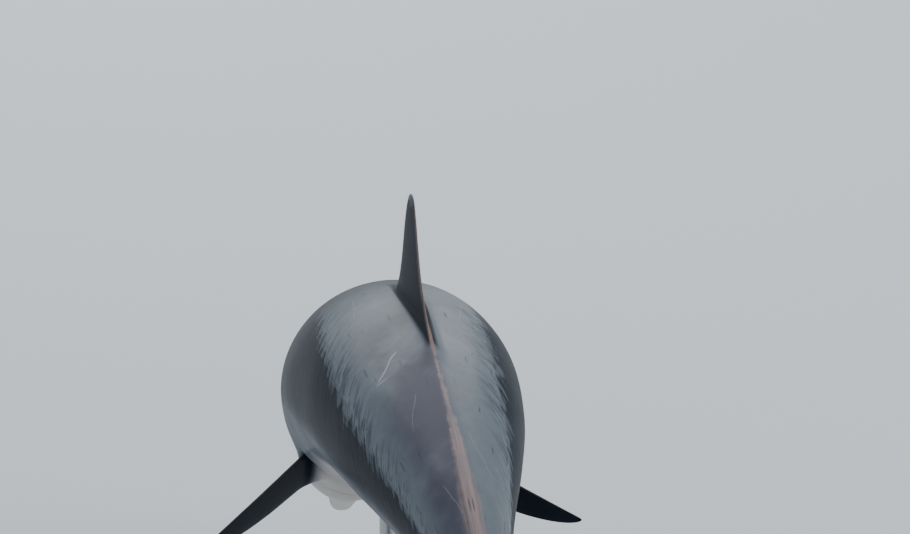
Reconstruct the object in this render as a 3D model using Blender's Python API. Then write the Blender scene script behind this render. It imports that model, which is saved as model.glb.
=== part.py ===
"""Bottlenose dolphin, life size, arched as it rolls over at the surface, on a plain display stand.

Run it with: blender --background --python part.py

Metres, +Z up. The beak points along +X, the animal's left is +Y, and the floor is z = 0.
The body is a loft of rings round a curved spine. A place on it is given by its station (metres
along the spine from the tip of the beak), its side (+1 left, -1 right) and its elevation
(degrees above the mouth and flank line, as seen from the spine). Fins are lofts of wing
sections, cut off where they meet the body.
"""

import math

import bmesh
import bpy
import numpy as np
from mathutils import Matrix, Vector

# ---------------------------------------------------------------- driving dimensions
BODY_LENGTH = 2.90  # tip of the beak to the notch between the flukes
GAP = 0.0003  # between neighbouring solids
BEAK_CLEARANCE = 0.13  # lowest point of the beak above the floor

# The arch of the spine: share of the body length, and how steeply it falls towards the tail.
ARCH = (
    (0.00, -46.0),
    (0.12, -44.5),
    (0.22, -41.0),
    (0.30, -34.5),
    (0.38, -26.5),
    (0.46, -17.5),
    (0.54, -9.0),
    (0.62, -1.5),
    (0.70, 5.0),
    (0.78, 12.0),
    (0.86, 20.0),
    (1.00, 29.0),
)

# Cranium and trunk: share of the body length, then from the spine the height of the back,
# the depth of the belly and the half width. The first row is the front of the melon.
TRUNK = (
    (0.0310, 0.031, -0.015, 0.014),
    (0.0350, 0.053, -0.006, 0.041),
    (0.0420, 0.079, 0.010, 0.062),
    (0.0530, 0.106, 0.032, 0.083),
    (0.0700, 0.132, 0.060, 0.105),
    (0.0890, 0.148, 0.082, 0.121),
    (0.1241, 0.160, 0.117, 0.139),
    (0.1550, 0.165, 0.143, 0.155),
    (0.2100, 0.184, 0.183, 0.186),
    (0.2800, 0.212, 0.218, 0.222),
    (0.3600, 0.231, 0.243, 0.246),
    (0.4400, 0.237, 0.250, 0.252),
    (0.5200, 0.232, 0.244, 0.247),
    (0.6100, 0.208, 0.222, 0.219),
    (0.6900, 0.173, 0.186, 0.171),
    (0.7600, 0.138, 0.146, 0.119),
    (0.8300, 0.102, 0.105, 0.075),
    (0.9000, 0.070, 0.070, 0.042),
    (0.9500, 0.036, 0.035, 0.034),
    (0.9700, 0.023, 0.022, 0.030),
    (0.9850, 0.014, 0.013, 0.022),
    (1.0000, 0.006, 0.006, 0.012),
)

# Beak and jaws, which run back inside the head: the same four measures.
JAWS = (
    (0.0000, 0.020, 0.023, 0.029),
    (0.0172, 0.025, 0.029, 0.035),
    (0.0310, 0.030, 0.036, 0.042),
    (0.0414, 0.030, 0.044, 0.050),
    (0.0552, 0.030, 0.056, 0.063),
    (0.0690, 0.032, 0.068, 0.078),
    (0.0862, 0.035, 0.084, 0.096),
    (0.1069, 0.040, 0.103, 0.117),
    (0.1241, 0.040, 0.116, 0.128),
    (0.1550, 0.040, 0.128, 0.132),
)
BEAK_NOSE = 0.032  # length over which the tip of the beak rounds off
UPPER_BEAK_SET_BACK = 0.007  # the lower jaw is the longer one

# Height of the mouth line above the spine, which turns up at its corner.
MOUTH = ((0.000, -0.002), (0.060, -0.001), (0.088, 0.004), (0.107, 0.013), (0.150, 0.008), (0.210, 0.0))

# Ridge behind the fin and keels of the tail stock: share of the body length, back, belly.
KEELS = (
    (0.56, 0.000, 0.000),
    (0.62, 0.009, 0.000),
    (0.72, 0.011, 0.003),
    (0.82, 0.012, 0.010),
    (0.92, 0.008, 0.008),
    (0.98, 0.000, 0.000),
)
KEEL_WIDTH = 0.017

# Where one solid ends and the next begins, as stations along the spine.
MELON_FRONT = 0.087
MELON_BROW = 0.160
MOUTH_CORNER = 0.310
NAPE = 0.470
SHOULDER = 0.580
MIDRIFF = 1.050
LOIN = 1.480
VENT = 1.950
TAIL = 2.400

# How finely the rings are spaced: from station, to station, number of steps.
RING_STEPS = (
    (0.0, BEAK_NOSE, 5),
    (BEAK_NOSE, MELON_FRONT, 3),
    (MELON_FRONT, MELON_BROW, 7),
    (MELON_BROW, MOUTH_CORNER, 6),
    (MOUTH_CORNER, NAPE, 4),
    (NAPE, SHOULDER, 2),
    (SHOULDER, MIDRIFF, 7),
    (MIDRIFF, LOIN, 7),
    (LOIN, VENT, 7),
    (VENT, TAIL, 7),
    (TAIL, BODY_LENGTH, 10),
)
# Elevations of a ring's corners: close together at the mouth line and along the midline of the back.
QUADRANT = (0, 10, 22, 35, 49, 63, 76, 85, 90)

EYE_STATION, EYE_ELEVATION, EYE_RADIUS, EYE_PROUD = 0.368, 10.5, 0.0165, 0.0030
BLOWHOLE_STATION, BLOWHOLE_LEFT, BLOWHOLE_RADIUS, BLOWHOLE_GROOVE = 0.352, 0.005, 0.016, 0.0035

FIN_STATION = 1.615  # middle of the dorsal fin's base
FLIPPER_STATION, FLIPPER_ELEVATION = 0.715, -40.0
FLUKE_STATION = 2.79  # the flukes lie in the spine's level here

ROD_STATIONS = {"front": 0.98, "rear": 1.93}
ROD_RADIUS = 0.021
FLANGE_RADIUS, FLANGE_THICKNESS = 0.062, 0.012
BASE_LENGTH, BASE_WIDTH, BASE_THICKNESS = 1.56, 0.62, 0.036
BASE_CORNER, BASE_EDGE = 0.090, 0.005


# ---------------------------------------------------------------- helpers: curves and meshes
def smooth(rows):
    """A function through rows of (x, values...) that never overshoots them."""
    table = np.array(rows, float)
    x, y = table[:, 0], table[:, 1:]
    step, rise = np.diff(x)[:, None], np.diff(y, axis=0)
    slope = rise / step
    same = slope[:-1] * slope[1:] > 0
    inner = np.where(same, 2 * slope[:-1] * slope[1:] / np.where(same, slope[:-1] + slope[1:], 1), 0)
    tangent = np.vstack([slope[:1], inner, slope[-1:]])

    def value(at):
        at = min(max(at, x[0]), x[-1])
        i = min(int(np.searchsorted(x, at, side="right")) - 1, len(x) - 2)
        i = max(i, 0)
        h = x[i + 1] - x[i]
        t = (at - x[i]) / h
        found = (
            (2 * t**3 - 3 * t**2 + 1) * y[i]
            + (t**3 - 2 * t**2 + t) * h * tangent[i]
            + (3 * t**2 - 2 * t**3) * y[i + 1]
            + (t**3 - t**2) * h * tangent[i + 1]
        )
        return found if len(found) > 1 else float(found[0])

    return value


def steps(low, high, count):
    """count + 1 evenly spaced values from low to high."""
    return [low + (high - low) * i / count for i in range(count + 1)]


def material(name, colour, roughness, metallic=0.0):
    made = bpy.data.materials.new(name)
    made.use_nodes = True
    shader = made.node_tree.nodes["Principled BSDF"]
    shader.inputs["Base Color"].default_value = (*colour, 1.0)
    shader.inputs["Roughness"].default_value = roughness
    shader.inputs["Metallic"].default_value = metallic
    made.diffuse_color = (*colour, 1.0)
    return made


def add_object(name, bm, surface, smooth_angle=35.0):
    """One named object from a bmesh, with its faces pointing out."""
    bmesh.ops.recalc_face_normals(bm, faces=bm.faces)
    mesh = bpy.data.meshes.new(name)
    bm.to_mesh(mesh)
    bm.free()
    mesh.shade_smooth()
    mesh.set_sharp_from_angle(angle=math.radians(smooth_angle))
    mesh.materials.append(surface)
    made = bpy.data.objects.new(name, mesh)
    bpy.context.scene.collection.objects.link(made)
    return made


def as_cutter(helper):
    helper.hide_render = True
    helper.display_type = "WIRE"
    return helper


def cut(target, cutter):
    boolean = target.modifiers.new("cut_by_" + cutter.name, "BOOLEAN")
    boolean.operation = "DIFFERENCE"
    boolean.solver = "EXACT"
    boolean.object = cutter


# ---------------------------------------------------------------- the spine
arch_at = smooth(ARCH)
SPINE_STEP = 0.005
spine_path = [(0.0, 0.0)]
for step_number in range(round(BODY_LENGTH / SPINE_STEP)):
    fall = math.radians(arch_at((step_number + 0.5) * SPINE_STEP / BODY_LENGTH))
    last_x, last_z = spine_path[-1]
    spine_path.append((last_x - SPINE_STEP * math.cos(fall), last_z - SPINE_STEP * math.sin(fall)))


def spine(station):
    """Place of the spine, with its direction towards the tail and its upward normal."""
    fall = math.radians(arch_at(station / BODY_LENGTH))
    tailward = Vector((-math.cos(fall), 0, -math.sin(fall)))
    upward = Vector((-math.sin(fall), 0, math.cos(fall)))
    share = min(max(station / SPINE_STEP, 0), len(spine_path) - 1)
    low = min(int(share), len(spine_path) - 2)
    (x0, z0), (x1, z1) = spine_path[low], spine_path[low + 1]
    part = share - low
    return Vector((x0 + (x1 - x0) * part, 0, z0 + (z1 - z0) * part)), tailward, upward


# ---------------------------------------------------------------- the body's surface
trunk_at = smooth(TRUNK)
jaws_at = smooth(JAWS)
mouth_at = smooth(MOUTH)
keels_at = smooth(KEELS)
JAW_SQUARENESS = 2.25
NOSE_BLUNTNESS = 2.5
MELON_CREASE = 12.0  # the higher, the sharper the crease where the melon meets the beak
MIDLINE = 90.0


def rounded_nose(station, start, length):
    """0 at the very tip, 1 where the rounding ends."""
    share = min(max((station - start) / length, 0.0), 1.0)
    return (1 - (1 - share) ** NOSE_BLUNTNESS) ** (1 / NOSE_BLUNTNESS)


def ellipse_reach(across, up, top, bottom, half):
    """How far a ray from the spine goes to leave an ellipse that may lie above the spine."""
    middle, tall = (top - bottom) / 2, (top + bottom) / 2
    a = (across / half) ** 2 + (up / tall) ** 2
    b = up * middle / tall**2
    c = (middle / tall) ** 2 - 1
    inside = b * b - a * c
    return max((b + math.sqrt(inside)) / a, 0.0) if inside > 0 else 0.0


def skin_radius(station, elevation):
    """Distance from the spine to the skin."""
    share = station / BODY_LENGTH
    across, up = math.cos(math.radians(elevation)), math.sin(math.radians(elevation))
    jaw_top, jaw_bottom, jaw_half = jaws_at(share)
    tall = jaw_top if up > 0 else jaw_bottom
    squared = (across / jaw_half) ** JAW_SQUARENESS + (abs(up) / tall) ** JAW_SQUARENESS
    start = UPPER_BEAK_SET_BACK if up > 0 else 0.0
    jaw = squared ** (-1 / JAW_SQUARENESS) * rounded_nose(station, start, BEAK_NOSE)
    if share < TRUNK[0][0]:
        return jaw
    trunk = ellipse_reach(across, up, *trunk_at(share))
    if share > JAWS[-1][0]:
        jaw = 0.0
    both = (jaw**MELON_CREASE + trunk**MELON_CREASE) ** (1 / MELON_CREASE)
    keel = keels_at(share)[0 if up > 0 else 1]
    return both + keel * math.exp(-((both * across / KEEL_WIDTH) ** 2))


def body_point(station, side, elevation, grow=0.0):
    """A point on the skin, or grow metres outside it."""
    place, _, upward = spine(station)
    share = station / BODY_LENGTH
    mouth_angle = math.degrees(math.atan2(mouth_at(share), jaws_at(share)[2]))
    lifted = elevation + mouth_angle * (1 - abs(elevation) / MIDLINE)
    reach = skin_radius(station, lifted) + grow
    turn = math.radians(lifted)
    return place + Vector((0, side * reach * math.cos(turn), 0)) + upward * (reach * math.sin(turn))


def ring_columns():
    """(side, elevation) of a ring's corners: left flank, over the back, right flank, under the belly."""
    over = [(1, e) for e in QUADRANT] + [(-1, e) for e in reversed(QUADRANT[:-1])]
    under = [(-1, -e) for e in QUADRANT[1:]] + [(1, -e) for e in reversed(QUADRANT[1:-1])]
    return over, under


def ring_stations(start, end):
    """The stations of the rings from start to end, with both ends among them."""
    every = sorted({round(s, 6) for low, high, count in RING_STEPS for s in steps(low, high, count)})
    shortest = 0.003
    return [start] + [s for s in every if start + shortest < s < end - shortest] + [end]


def loft(name, rings, surface):
    """A closed solid through rings of points. A ring may be an upper half only, before whole ones."""
    bm = bmesh.new()
    corners = [[bm.verts.new(point) for point in ring] for ring in rings]
    for before, after in zip(corners, corners[1:]):
        shared = min(len(before), len(after))
        for i in range(shared - 1):
            bm.faces.new((before[i], before[i + 1], after[i + 1], after[i]))
        bm.faces.new((before[shared - 1], before[0], after[0], after[shared - 1]) if len(before) == len(after)
                     else (before[-1], before[0], after[0], after[len(before) - 1]))
        if len(after) > len(before):
            bm.faces.new([after[0], *after[len(before) - 1:]])
    bm.faces.new(corners[0])
    bm.faces.new(corners[-1])
    return add_object(name, bm, surface)


def body_ring(station, which="whole", grow=0.0):
    over, under = ring_columns()
    lip = GAP / 2
    if which == "lower":
        columns = [(-1, 0), *under, (1, 0)]
        points = [body_point(station, *column, grow) for column in columns]
        upward = spine(station)[2]
        points[0] -= upward * lip
        points[-1] -= upward * lip
        return points
    points = [body_point(station, *column, grow) for column in over]
    if which == "upper":
        upward = spine(station)[2]
        points[0] += upward * lip
        points[-1] += upward * lip
        return points
    return points + [body_point(station, *column, grow) for column in under]


def body_length_of(name, start, end, surface, which="whole"):
    """One solid of the body between two stations, half a gap short at each end."""
    rings = [body_ring(s, which) for s in ring_stations(start + GAP / 2, end - GAP / 2)]
    return loft(name, rings, surface)


# ---------------------------------------------------------------- fins
CHORD_SHARES = (0.0, 0.015, 0.05, 0.11, 0.21, 0.35, 0.52, 0.7, 0.86, 1.0)
FIN_EDGE = 0.0006  # half the thickness of a trailing edge


def wing_thickness(share):
    """Half the thickness of a symmetrical wing section as thick as it is long."""
    return 5 * (0.2969 * share**0.5 - 0.126 * share - 0.3516 * share**2 + 0.2843 * share**3 - 0.1036 * share**4)


def wing_section(lead, trail, thickness, put):
    """A ring round a wing section. put(along, out) places a point at that length and thickness."""
    chord = trail - lead
    half = [chord * thickness * wing_thickness(share) + (FIN_EDGE if share else 0.0) for share in CHORD_SHARES]
    along = [lead + chord * share for share in CHORD_SHARES]
    upper = [put(a, h) for a, h in zip(along, half)]
    return upper + [put(a, -h) for a, h in zip(along[:0:-1], half[:0:-1])]


def dorsal_fin(surface, envelope):
    """Height up the fin as a share, then its leading edge, trailing edge and thickness by chord."""
    height, lean = 0.274, 0.010
    outline = smooth((
        (-0.34, -0.262, 0.300, 0.135),
        (-0.12, -0.258, 0.282, 0.118),
        (0.00, -0.225, 0.236, 0.108),
        (0.08, -0.196, 0.188, 0.108),
        (0.20, -0.158, 0.146, 0.107),
        (0.40, -0.114, 0.114, 0.102),
        (0.60, -0.077, 0.103, 0.096),
        (0.78, -0.040, 0.099, 0.088),
        (0.90, -0.008, 0.092, 0.084),
        (0.97, 0.018, 0.085, 0.090),
        (1.00, 0.038, 0.074, 0.110),
    ))
    arch_radius = 1.45  # of the back that the fin's foot follows
    place, tailward, upward = spine(FIN_STATION)
    foot = place + upward * skin_radius(FIN_STATION, MIDLINE)
    rings = []
    for share in (-0.34, -0.12, 0.0, 0.05, 0.11, 0.2, 0.32, 0.45, 0.58, 0.7, 0.81, 0.9, 0.96, 1.0):
        lead, trail, thickness = outline(share)

        def put(along, out, share=share):
            sag = along**2 / (2 * arch_radius) * (1 - max(share, 0))
            return foot + tailward * along + upward * (share * height - sag) + Vector((0, out + lean * share, 0))

        rings.append(wing_section(lead, trail, thickness, put))
    fin = loft("dorsal_fin", rings, surface)
    cut(fin, envelope)


def flipper(name, side, surface, envelope):
    """A flipper swept back and held a little out from the chest."""
    length = 0.47
    outline = smooth((
        (0.00, -0.086, 0.092, 0.150),
        (0.10, -0.086, 0.084, 0.135),
        (0.20, -0.082, 0.078, 0.120),
        (0.35, -0.074, 0.078, 0.100),
        (0.52, -0.050, 0.084, 0.088),
        (0.68, -0.012, 0.098, 0.080),
        (0.82, 0.036, 0.116, 0.074),
        (0.92, 0.082, 0.131, 0.068),
        (0.98, 0.118, 0.141, 0.062),
        (1.00, 0.136, 0.143, 0.060),
    ))
    _, tailward, upward = spine(FLIPPER_STATION)
    root = body_point(FLIPPER_STATION, side, FLIPPER_ELEVATION, grow=-0.052)
    sideways = Vector((0, side, 0))
    span = (sideways * 0.74 - upward * 0.60 + tailward * 0.30).normalized()
    chord = (tailward - span * tailward.dot(span)).normalized()
    chord = (chord + span.cross(chord) * side * 0.22).normalized()
    flat = span.cross(chord).normalized()
    droop = 0.055  # how far the tip curls down
    rings = []
    for share in (0.0, 0.06, 0.12, 0.2, 0.3, 0.4, 0.5, 0.6, 0.7, 0.79, 0.87, 0.93, 0.98, 1.0):
        lead, trail, thickness = outline(share)

        def put(along, out, share=share):
            return root + span * (share * length) + chord * along + flat * out - upward * (droop * share**2)

        rings.append(wing_section(lead, trail, thickness, put))
    made = loft(name, rings, surface)
    cut(made, envelope)


def fluke(name, side, surface, envelope):
    """Half of the tail fin, from the midline out."""
    half_span = 0.345
    notch = BODY_LENGTH - FLUKE_STATION
    outline = smooth((
        (0.00, -0.255, 0.000, 0.120),
        (0.06, -0.235, 0.018, 0.112),
        (0.12, -0.205, 0.032, 0.104),
        (0.22, -0.163, 0.044, 0.094),
        (0.38, -0.108, 0.048, 0.086),
        (0.55, -0.052, 0.041, 0.080),
        (0.72, -0.002, 0.038, 0.074),
        (0.86, 0.034, 0.046, 0.068),
        (0.95, 0.054, 0.058, 0.064),
        (1.00, 0.067, 0.069, 0.060),
    ))
    flex, droop = math.radians(-7.0), 0.020
    place, tailward, upward = spine(FLUKE_STATION)
    turn = Matrix.Rotation(-flex, 3, "Y")
    back, raised = turn @ tailward, turn @ upward
    rings = []
    for share in (0.0, 0.04, 0.08, 0.14, 0.22, 0.31, 0.42, 0.54, 0.66, 0.77, 0.86, 0.93, 0.98, 1.0):
        lead, trail, thickness = outline(share)
        out = max(share * half_span, GAP / 2)

        def put(along, thick, out=out, share=share):
            level = raised * (thick - droop * share**2)
            return place + back * (notch + along) + level + Vector((0, side * out, 0))

        rings.append(wing_section(lead, trail, thickness, put))
    made = loft(name, rings, surface)
    cut(made, envelope)


# ---------------------------------------------------------------- head pieces
def ball(name, centre, radius, surface, turn=None):
    bm = bmesh.new()
    bmesh.ops.create_uvsphere(bm, u_segments=16, v_segments=10, radius=radius)
    if turn:
        bmesh.ops.transform(bm, matrix=turn, verts=bm.verts)
    bmesh.ops.translate(bm, verts=bm.verts, vec=centre)
    return add_object(name, bm, surface, smooth_angle=60)


def eye(name, side, surface, head):
    """An eyeball in its own round socket in the head."""
    outer = body_point(EYE_STATION, side, EYE_ELEVATION)
    place, _, _ = spine(EYE_STATION)
    outward = (outer - place).normalized()
    centre = outer + outward * (EYE_PROUD - EYE_RADIUS)
    look = outward.to_track_quat("Z", "Y").to_matrix().to_4x4()
    ball(name, centre, EYE_RADIUS, surface, look)
    cut(head, as_cutter(ball(name + "_socket", centre, EYE_RADIUS + GAP, surface, look)))


def blowhole(surface, head):
    """A crescent groove on the crown, a little left of the midline, its horns pointing forward."""
    place, tailward, upward = spine(BLOWHOLE_STATION)
    crown = place + upward * skin_radius(BLOWHOLE_STATION, MIDLINE) + Vector((0, BLOWHOLE_LEFT, 0))
    rings = []
    for angle in steps(-75, 75, 12):
        turn = math.radians(angle)
        spoke = tailward * math.cos(turn) + Vector((0, math.sin(turn), 0))
        centre = crown + spoke * BLOWHOLE_RADIUS - upward * 0.001
        wide = BLOWHOLE_GROOVE * math.cos(turn * 0.9)
        corners = [2 * math.pi * k / 8 for k in range(8)]
        rings.append([centre + spoke * (wide * math.cos(c)) + upward * (wide * math.sin(c)) for c in corners])
    cut(head, as_cutter(loft("blowhole_groove", rings, surface)))


# ---------------------------------------------------------------- stand
def lowest_skin(station):
    return body_point(station, 1, -MIDLINE)


def round_bar(name, centre_x, low, high, radius, surface, edge=0.0, sides=32):
    bm = bmesh.new()
    bmesh.ops.create_cone(bm, cap_ends=True, segments=sides, radius1=radius, radius2=radius, depth=high - low)
    bmesh.ops.translate(bm, verts=bm.verts, vec=(centre_x, 0, (low + high) / 2))
    if edge:
        top = max(v.co.z for v in bm.verts)
        rim = [e for e in bm.edges if all(abs(v.co.z - top) < GAP for v in e.verts)]
        bmesh.ops.bevel(bm, geom=rim, offset=edge, segments=2, affect="EDGES", profile=0.5)
    return add_object(name, bm, surface)


def base_plate(centre_x, floor, surface):
    """A flat board with rounded corners and an eased top edge."""
    bm = bmesh.new()
    corner_steps = 8
    outline = []
    for quarter, (sign_x, sign_y) in enumerate(((1, 1), (-1, 1), (-1, -1), (1, -1))):
        for angle in steps(90 * quarter, 90 * quarter + 90, corner_steps):
            turn = math.radians(angle)
            x = centre_x + sign_x * (BASE_LENGTH / 2 - BASE_CORNER) + BASE_CORNER * math.cos(turn)
            y = sign_y * (BASE_WIDTH / 2 - BASE_CORNER) + BASE_CORNER * math.sin(turn)
            outline.append(bm.verts.new((x, y, floor)))
    board = bm.faces.new(outline)
    raised = bmesh.ops.extrude_face_region(bm, geom=[board])["geom"]
    top = [v for v in raised if isinstance(v, bmesh.types.BMVert)]
    bmesh.ops.translate(bm, verts=top, vec=(0, 0, BASE_THICKNESS))
    rim = [e for e in bm.edges if all(v in top for v in e.verts)]
    bmesh.ops.bevel(bm, geom=rim, offset=BASE_EDGE, segments=2, affect="EDGES", profile=0.5)
    return add_object("stand_base", bm, surface)


def stand(board_paint, steel, envelope, floor):
    board_top = floor + BASE_THICKNESS
    places = {where: lowest_skin(station) for where, station in ROD_STATIONS.items()}
    base_plate(sum(p.x for p in places.values()) / len(places), floor, board_paint)
    for where, place in places.items():
        flange_low = board_top + GAP
        flange_high = flange_low + FLANGE_THICKNESS
        round_bar(f"stand_flange_{where}", place.x, flange_low, flange_high, FLANGE_RADIUS, steel, edge=0.002)
        reach_in = 0.05  # past the skin, where the envelope cuts it off
        rod = round_bar(f"stand_rod_{where}", place.x, flange_high + GAP, place.z + reach_in, ROD_RADIUS, steel)
        cut(rod, envelope)


# ---------------------------------------------------------------- assembly
def stand_on_floor():
    """Moves everything so that the floor is z = 0 and the middle of its length is x = 0."""
    graph = bpy.context.evaluated_depsgraph_get()
    shown = [o for o in bpy.context.scene.objects if not o.hide_render]
    corners = [o.matrix_world @ Vector(c) for o in shown for c in o.evaluated_get(graph).bound_box]
    middle = (min(c.x for c in corners) + max(c.x for c in corners)) / 2
    lowest = min(c.z for c in corners)
    for each in bpy.context.scene.objects:
        each.data.transform(Matrix.Translation((-middle, 0, -lowest)))


def build():
    for old in list(bpy.data.objects):
        bpy.data.objects.remove(old)
    back_skin = material("grey_back_skin", (0.085, 0.092, 0.110), 0.28)
    flank_skin = material("grey_flank_skin", (0.150, 0.160, 0.185), 0.28)
    fin_skin = material("dark_fin_skin", (0.045, 0.050, 0.066), 0.28)
    eye_surface = material("wet_eye", (0.012, 0.008, 0.006), 0.05)
    board_paint = material("painted_board", (0.055, 0.058, 0.062), 0.45)
    steel = material("brushed_steel", (0.55, 0.55, 0.56), 0.32, metallic=1.0)

    whole = [body_ring(s, grow=2 * GAP) for s in ring_stations(0.0, BODY_LENGTH)]
    envelope = as_cutter(loft("body_envelope", whole, back_skin))

    body_length_of("beak_upper", UPPER_BEAK_SET_BACK + GAP, MELON_FRONT, flank_skin, "upper")
    body_length_of("jaw_lower", 0.0, MOUTH_CORNER, flank_skin, "lower")
    crown = [body_ring(s, "upper") for s in ring_stations(MELON_FRONT + GAP / 2, MOUTH_CORNER + GAP / 2)[:-1]]
    cranium = [body_ring(s) for s in ring_stations(MOUTH_CORNER + GAP / 2, NAPE - GAP / 2)]
    head = loft("head", crown + cranium, back_skin)
    eye("eye_left", 1, eye_surface, head)
    eye("eye_right", -1, eye_surface, head)
    blowhole(back_skin, head)

    body_length_of("neck", NAPE, SHOULDER, back_skin)
    body_length_of("chest", SHOULDER, MIDRIFF, back_skin)
    body_length_of("trunk", MIDRIFF, LOIN, back_skin)
    body_length_of("loin", LOIN, VENT, back_skin)
    body_length_of("tail_stock_front", VENT, TAIL, back_skin)
    body_length_of("tail_stock_rear", TAIL, BODY_LENGTH, back_skin)

    dorsal_fin(fin_skin, envelope)
    for name, side in (("left", 1), ("right", -1)):
        flipper(f"flipper_{name}", side, fin_skin, envelope)
        fluke(f"fluke_{name}", side, fin_skin, envelope)

    beak_low = min(body_point(s, 1, -MIDLINE).z for s in steps(0.0, MOUTH_CORNER, 12))
    stand(board_paint, steel, envelope, beak_low - BEAK_CLEARANCE)
    stand_on_floor()


build()
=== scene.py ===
# %% [markdown]
# # A life-size bottlenose dolphin on a display stand
#
# The frame brings solids: lengths of the body, the fins, the eyes and a stand. They have the true
# sizes and places, but they are parted by thin cuts and their surface is coarse. This lesson lays
# one seamless skin over all the solids of flesh, with lids, lips and a blowhole, colours it as the
# living animal is coloured, with a painted sheen and some painted shade on the back and fins,
# gives the stand its finishes, and lights it all in a plain studio.
# Everything is in metres: the beak points along +X, the animal's left is +Y, and the floor is z = 0.

# %% Load the solids
import math

import bmesh
import bpy
from mathutils import Matrix, Vector


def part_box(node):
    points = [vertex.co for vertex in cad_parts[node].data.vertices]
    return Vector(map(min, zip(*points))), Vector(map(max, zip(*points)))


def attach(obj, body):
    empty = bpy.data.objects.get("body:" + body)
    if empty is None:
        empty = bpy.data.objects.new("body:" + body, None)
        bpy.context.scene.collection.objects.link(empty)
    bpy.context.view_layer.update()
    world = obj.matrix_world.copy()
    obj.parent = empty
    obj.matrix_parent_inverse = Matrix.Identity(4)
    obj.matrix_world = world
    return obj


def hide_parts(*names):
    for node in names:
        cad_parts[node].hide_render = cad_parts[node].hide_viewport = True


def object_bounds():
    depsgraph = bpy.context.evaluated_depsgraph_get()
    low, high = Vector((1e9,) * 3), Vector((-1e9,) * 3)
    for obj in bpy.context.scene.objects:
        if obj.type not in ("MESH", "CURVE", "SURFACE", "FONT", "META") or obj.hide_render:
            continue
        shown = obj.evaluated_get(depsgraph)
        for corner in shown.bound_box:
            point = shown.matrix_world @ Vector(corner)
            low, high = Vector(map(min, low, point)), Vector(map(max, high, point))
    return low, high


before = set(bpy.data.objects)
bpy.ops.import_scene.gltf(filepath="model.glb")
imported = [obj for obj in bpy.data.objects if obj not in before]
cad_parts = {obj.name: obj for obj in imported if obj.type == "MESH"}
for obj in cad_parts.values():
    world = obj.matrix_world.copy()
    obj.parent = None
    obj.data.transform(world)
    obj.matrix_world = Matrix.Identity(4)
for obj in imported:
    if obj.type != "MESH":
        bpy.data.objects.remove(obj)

solid_box = [list(corner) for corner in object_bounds()]
print("box of the solids, in metres:", [[round(c, 3) for c in corner] for corner in solid_box])

# %% [markdown]
# ## A chart of the body
#
# A dolphin's body is a spindle round a curved spine. Any place on its skin can be told by three
# numbers: its station, which is how many metres along the spine it lies from the tip of the beak;
# its side, +1 for the left and -1 for the right; and its climb, in degrees from the line of the
# mouth and flank (0) to the middle of the back (90) or of the belly (-90).
#
# Such a chart could be read off the solids by casting rays at them. A few rows of measures, with a
# smooth curve through each, say the same thing more simply and have no facets. These rows are the
# ones that the solids were made from, so the skin lies on them. First come the curve through rows
# and the spine itself: how steeply it falls towards the tail, here rising, there sinking.

# %% A smooth curve through rows
BODY_LENGTH = 2.90  # tip of the beak to the notch between the flukes
SPINE_START = Vector((1.31296, 0.0, 0.130))  # the tip of the lower jaw
SPINE_STEP = 0.005
ARCH = (
    (0.00, -46.0), (0.12, -44.5), (0.22, -41.0), (0.30, -34.5), (0.38, -26.5), (0.46, -17.5),
    (0.54, -9.0), (0.62, -1.5), (0.70, 5.0), (0.78, 12.0), (0.86, 20.0), (1.00, 29.0),
)  # share of the body's length, fall towards the tail in degrees


def smooth(rows):
    """A function through rows of (x, values...) that never overshoots them."""
    xs = [row[0] for row in rows]
    tracks = list(zip(*[row[1:] for row in rows]))
    slopes = []
    for track in tracks:
        rise = [(b - a) / (xb - xa) for a, b, xa, xb in zip(track, track[1:], xs, xs[1:])]
        inner = [2 * a * b / (a + b) if a * b > 0 else 0.0 for a, b in zip(rise, rise[1:])]
        slopes.append([rise[0], *inner, rise[-1]])

    def value(at):
        at = min(max(at, xs[0]), xs[-1])
        i = max(k for k in range(len(xs) - 1) if xs[k] <= at)
        h = xs[i + 1] - xs[i]
        t = (at - xs[i]) / h
        found = [
            (2 * t**3 - 3 * t**2 + 1) * track[i]
            + (t**3 - 2 * t**2 + t) * h * slope[i]
            + (3 * t**2 - 2 * t**3) * track[i + 1]
            + (t**3 - t**2) * h * slope[i + 1]
            for track, slope in zip(tracks, slopes)
        ]
        return found if len(found) > 1 else found[0]

    return value


# %% The spine
arch_at = smooth(ARCH)
spine_path = [SPINE_START.xz]
for step in range(round(BODY_LENGTH / SPINE_STEP)):
    fall = math.radians(arch_at((step + 0.5) * SPINE_STEP / BODY_LENGTH))
    spine_path.append(spine_path[-1] - SPINE_STEP * Vector((math.cos(fall), math.sin(fall))))


def spine(station):
    """Place of the spine, with its direction towards the tail and its upward normal."""
    fall = math.radians(arch_at(station / BODY_LENGTH))
    tailward = Vector((-math.cos(fall), 0, -math.sin(fall)))
    upward = Vector((-math.sin(fall), 0, math.cos(fall)))
    low = min(max(int(station / SPINE_STEP), 0), len(spine_path) - 2)
    place = spine_path[low].lerp(spine_path[low + 1], station / SPINE_STEP - low)
    return Vector((place.x, 0, place.y)), tailward, upward


HUMP_SHARE = 0.45  # share of the length at which the spine is highest
tail_fall = spine(HUMP_SHARE * BODY_LENGTH)[0].z - spine(BODY_LENGTH)[0].z
print("the spine falls", round(tail_fall, 2), "m to the tail")

# %% [markdown]
# Two bodies make up the surface. The trunk is a stack of ellipses, which begins at the front of the
# melon, the fatty forehead that the animal sounds with. The jaws are a flatter, squarer bar that
# starts in front of it as the beak and sinks into the head. Where both are there, the outer of the
# two shows, which leaves the crease between the beak and the melon. A narrow keel runs down the
# back behind the fin, and another below the tail.

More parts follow.
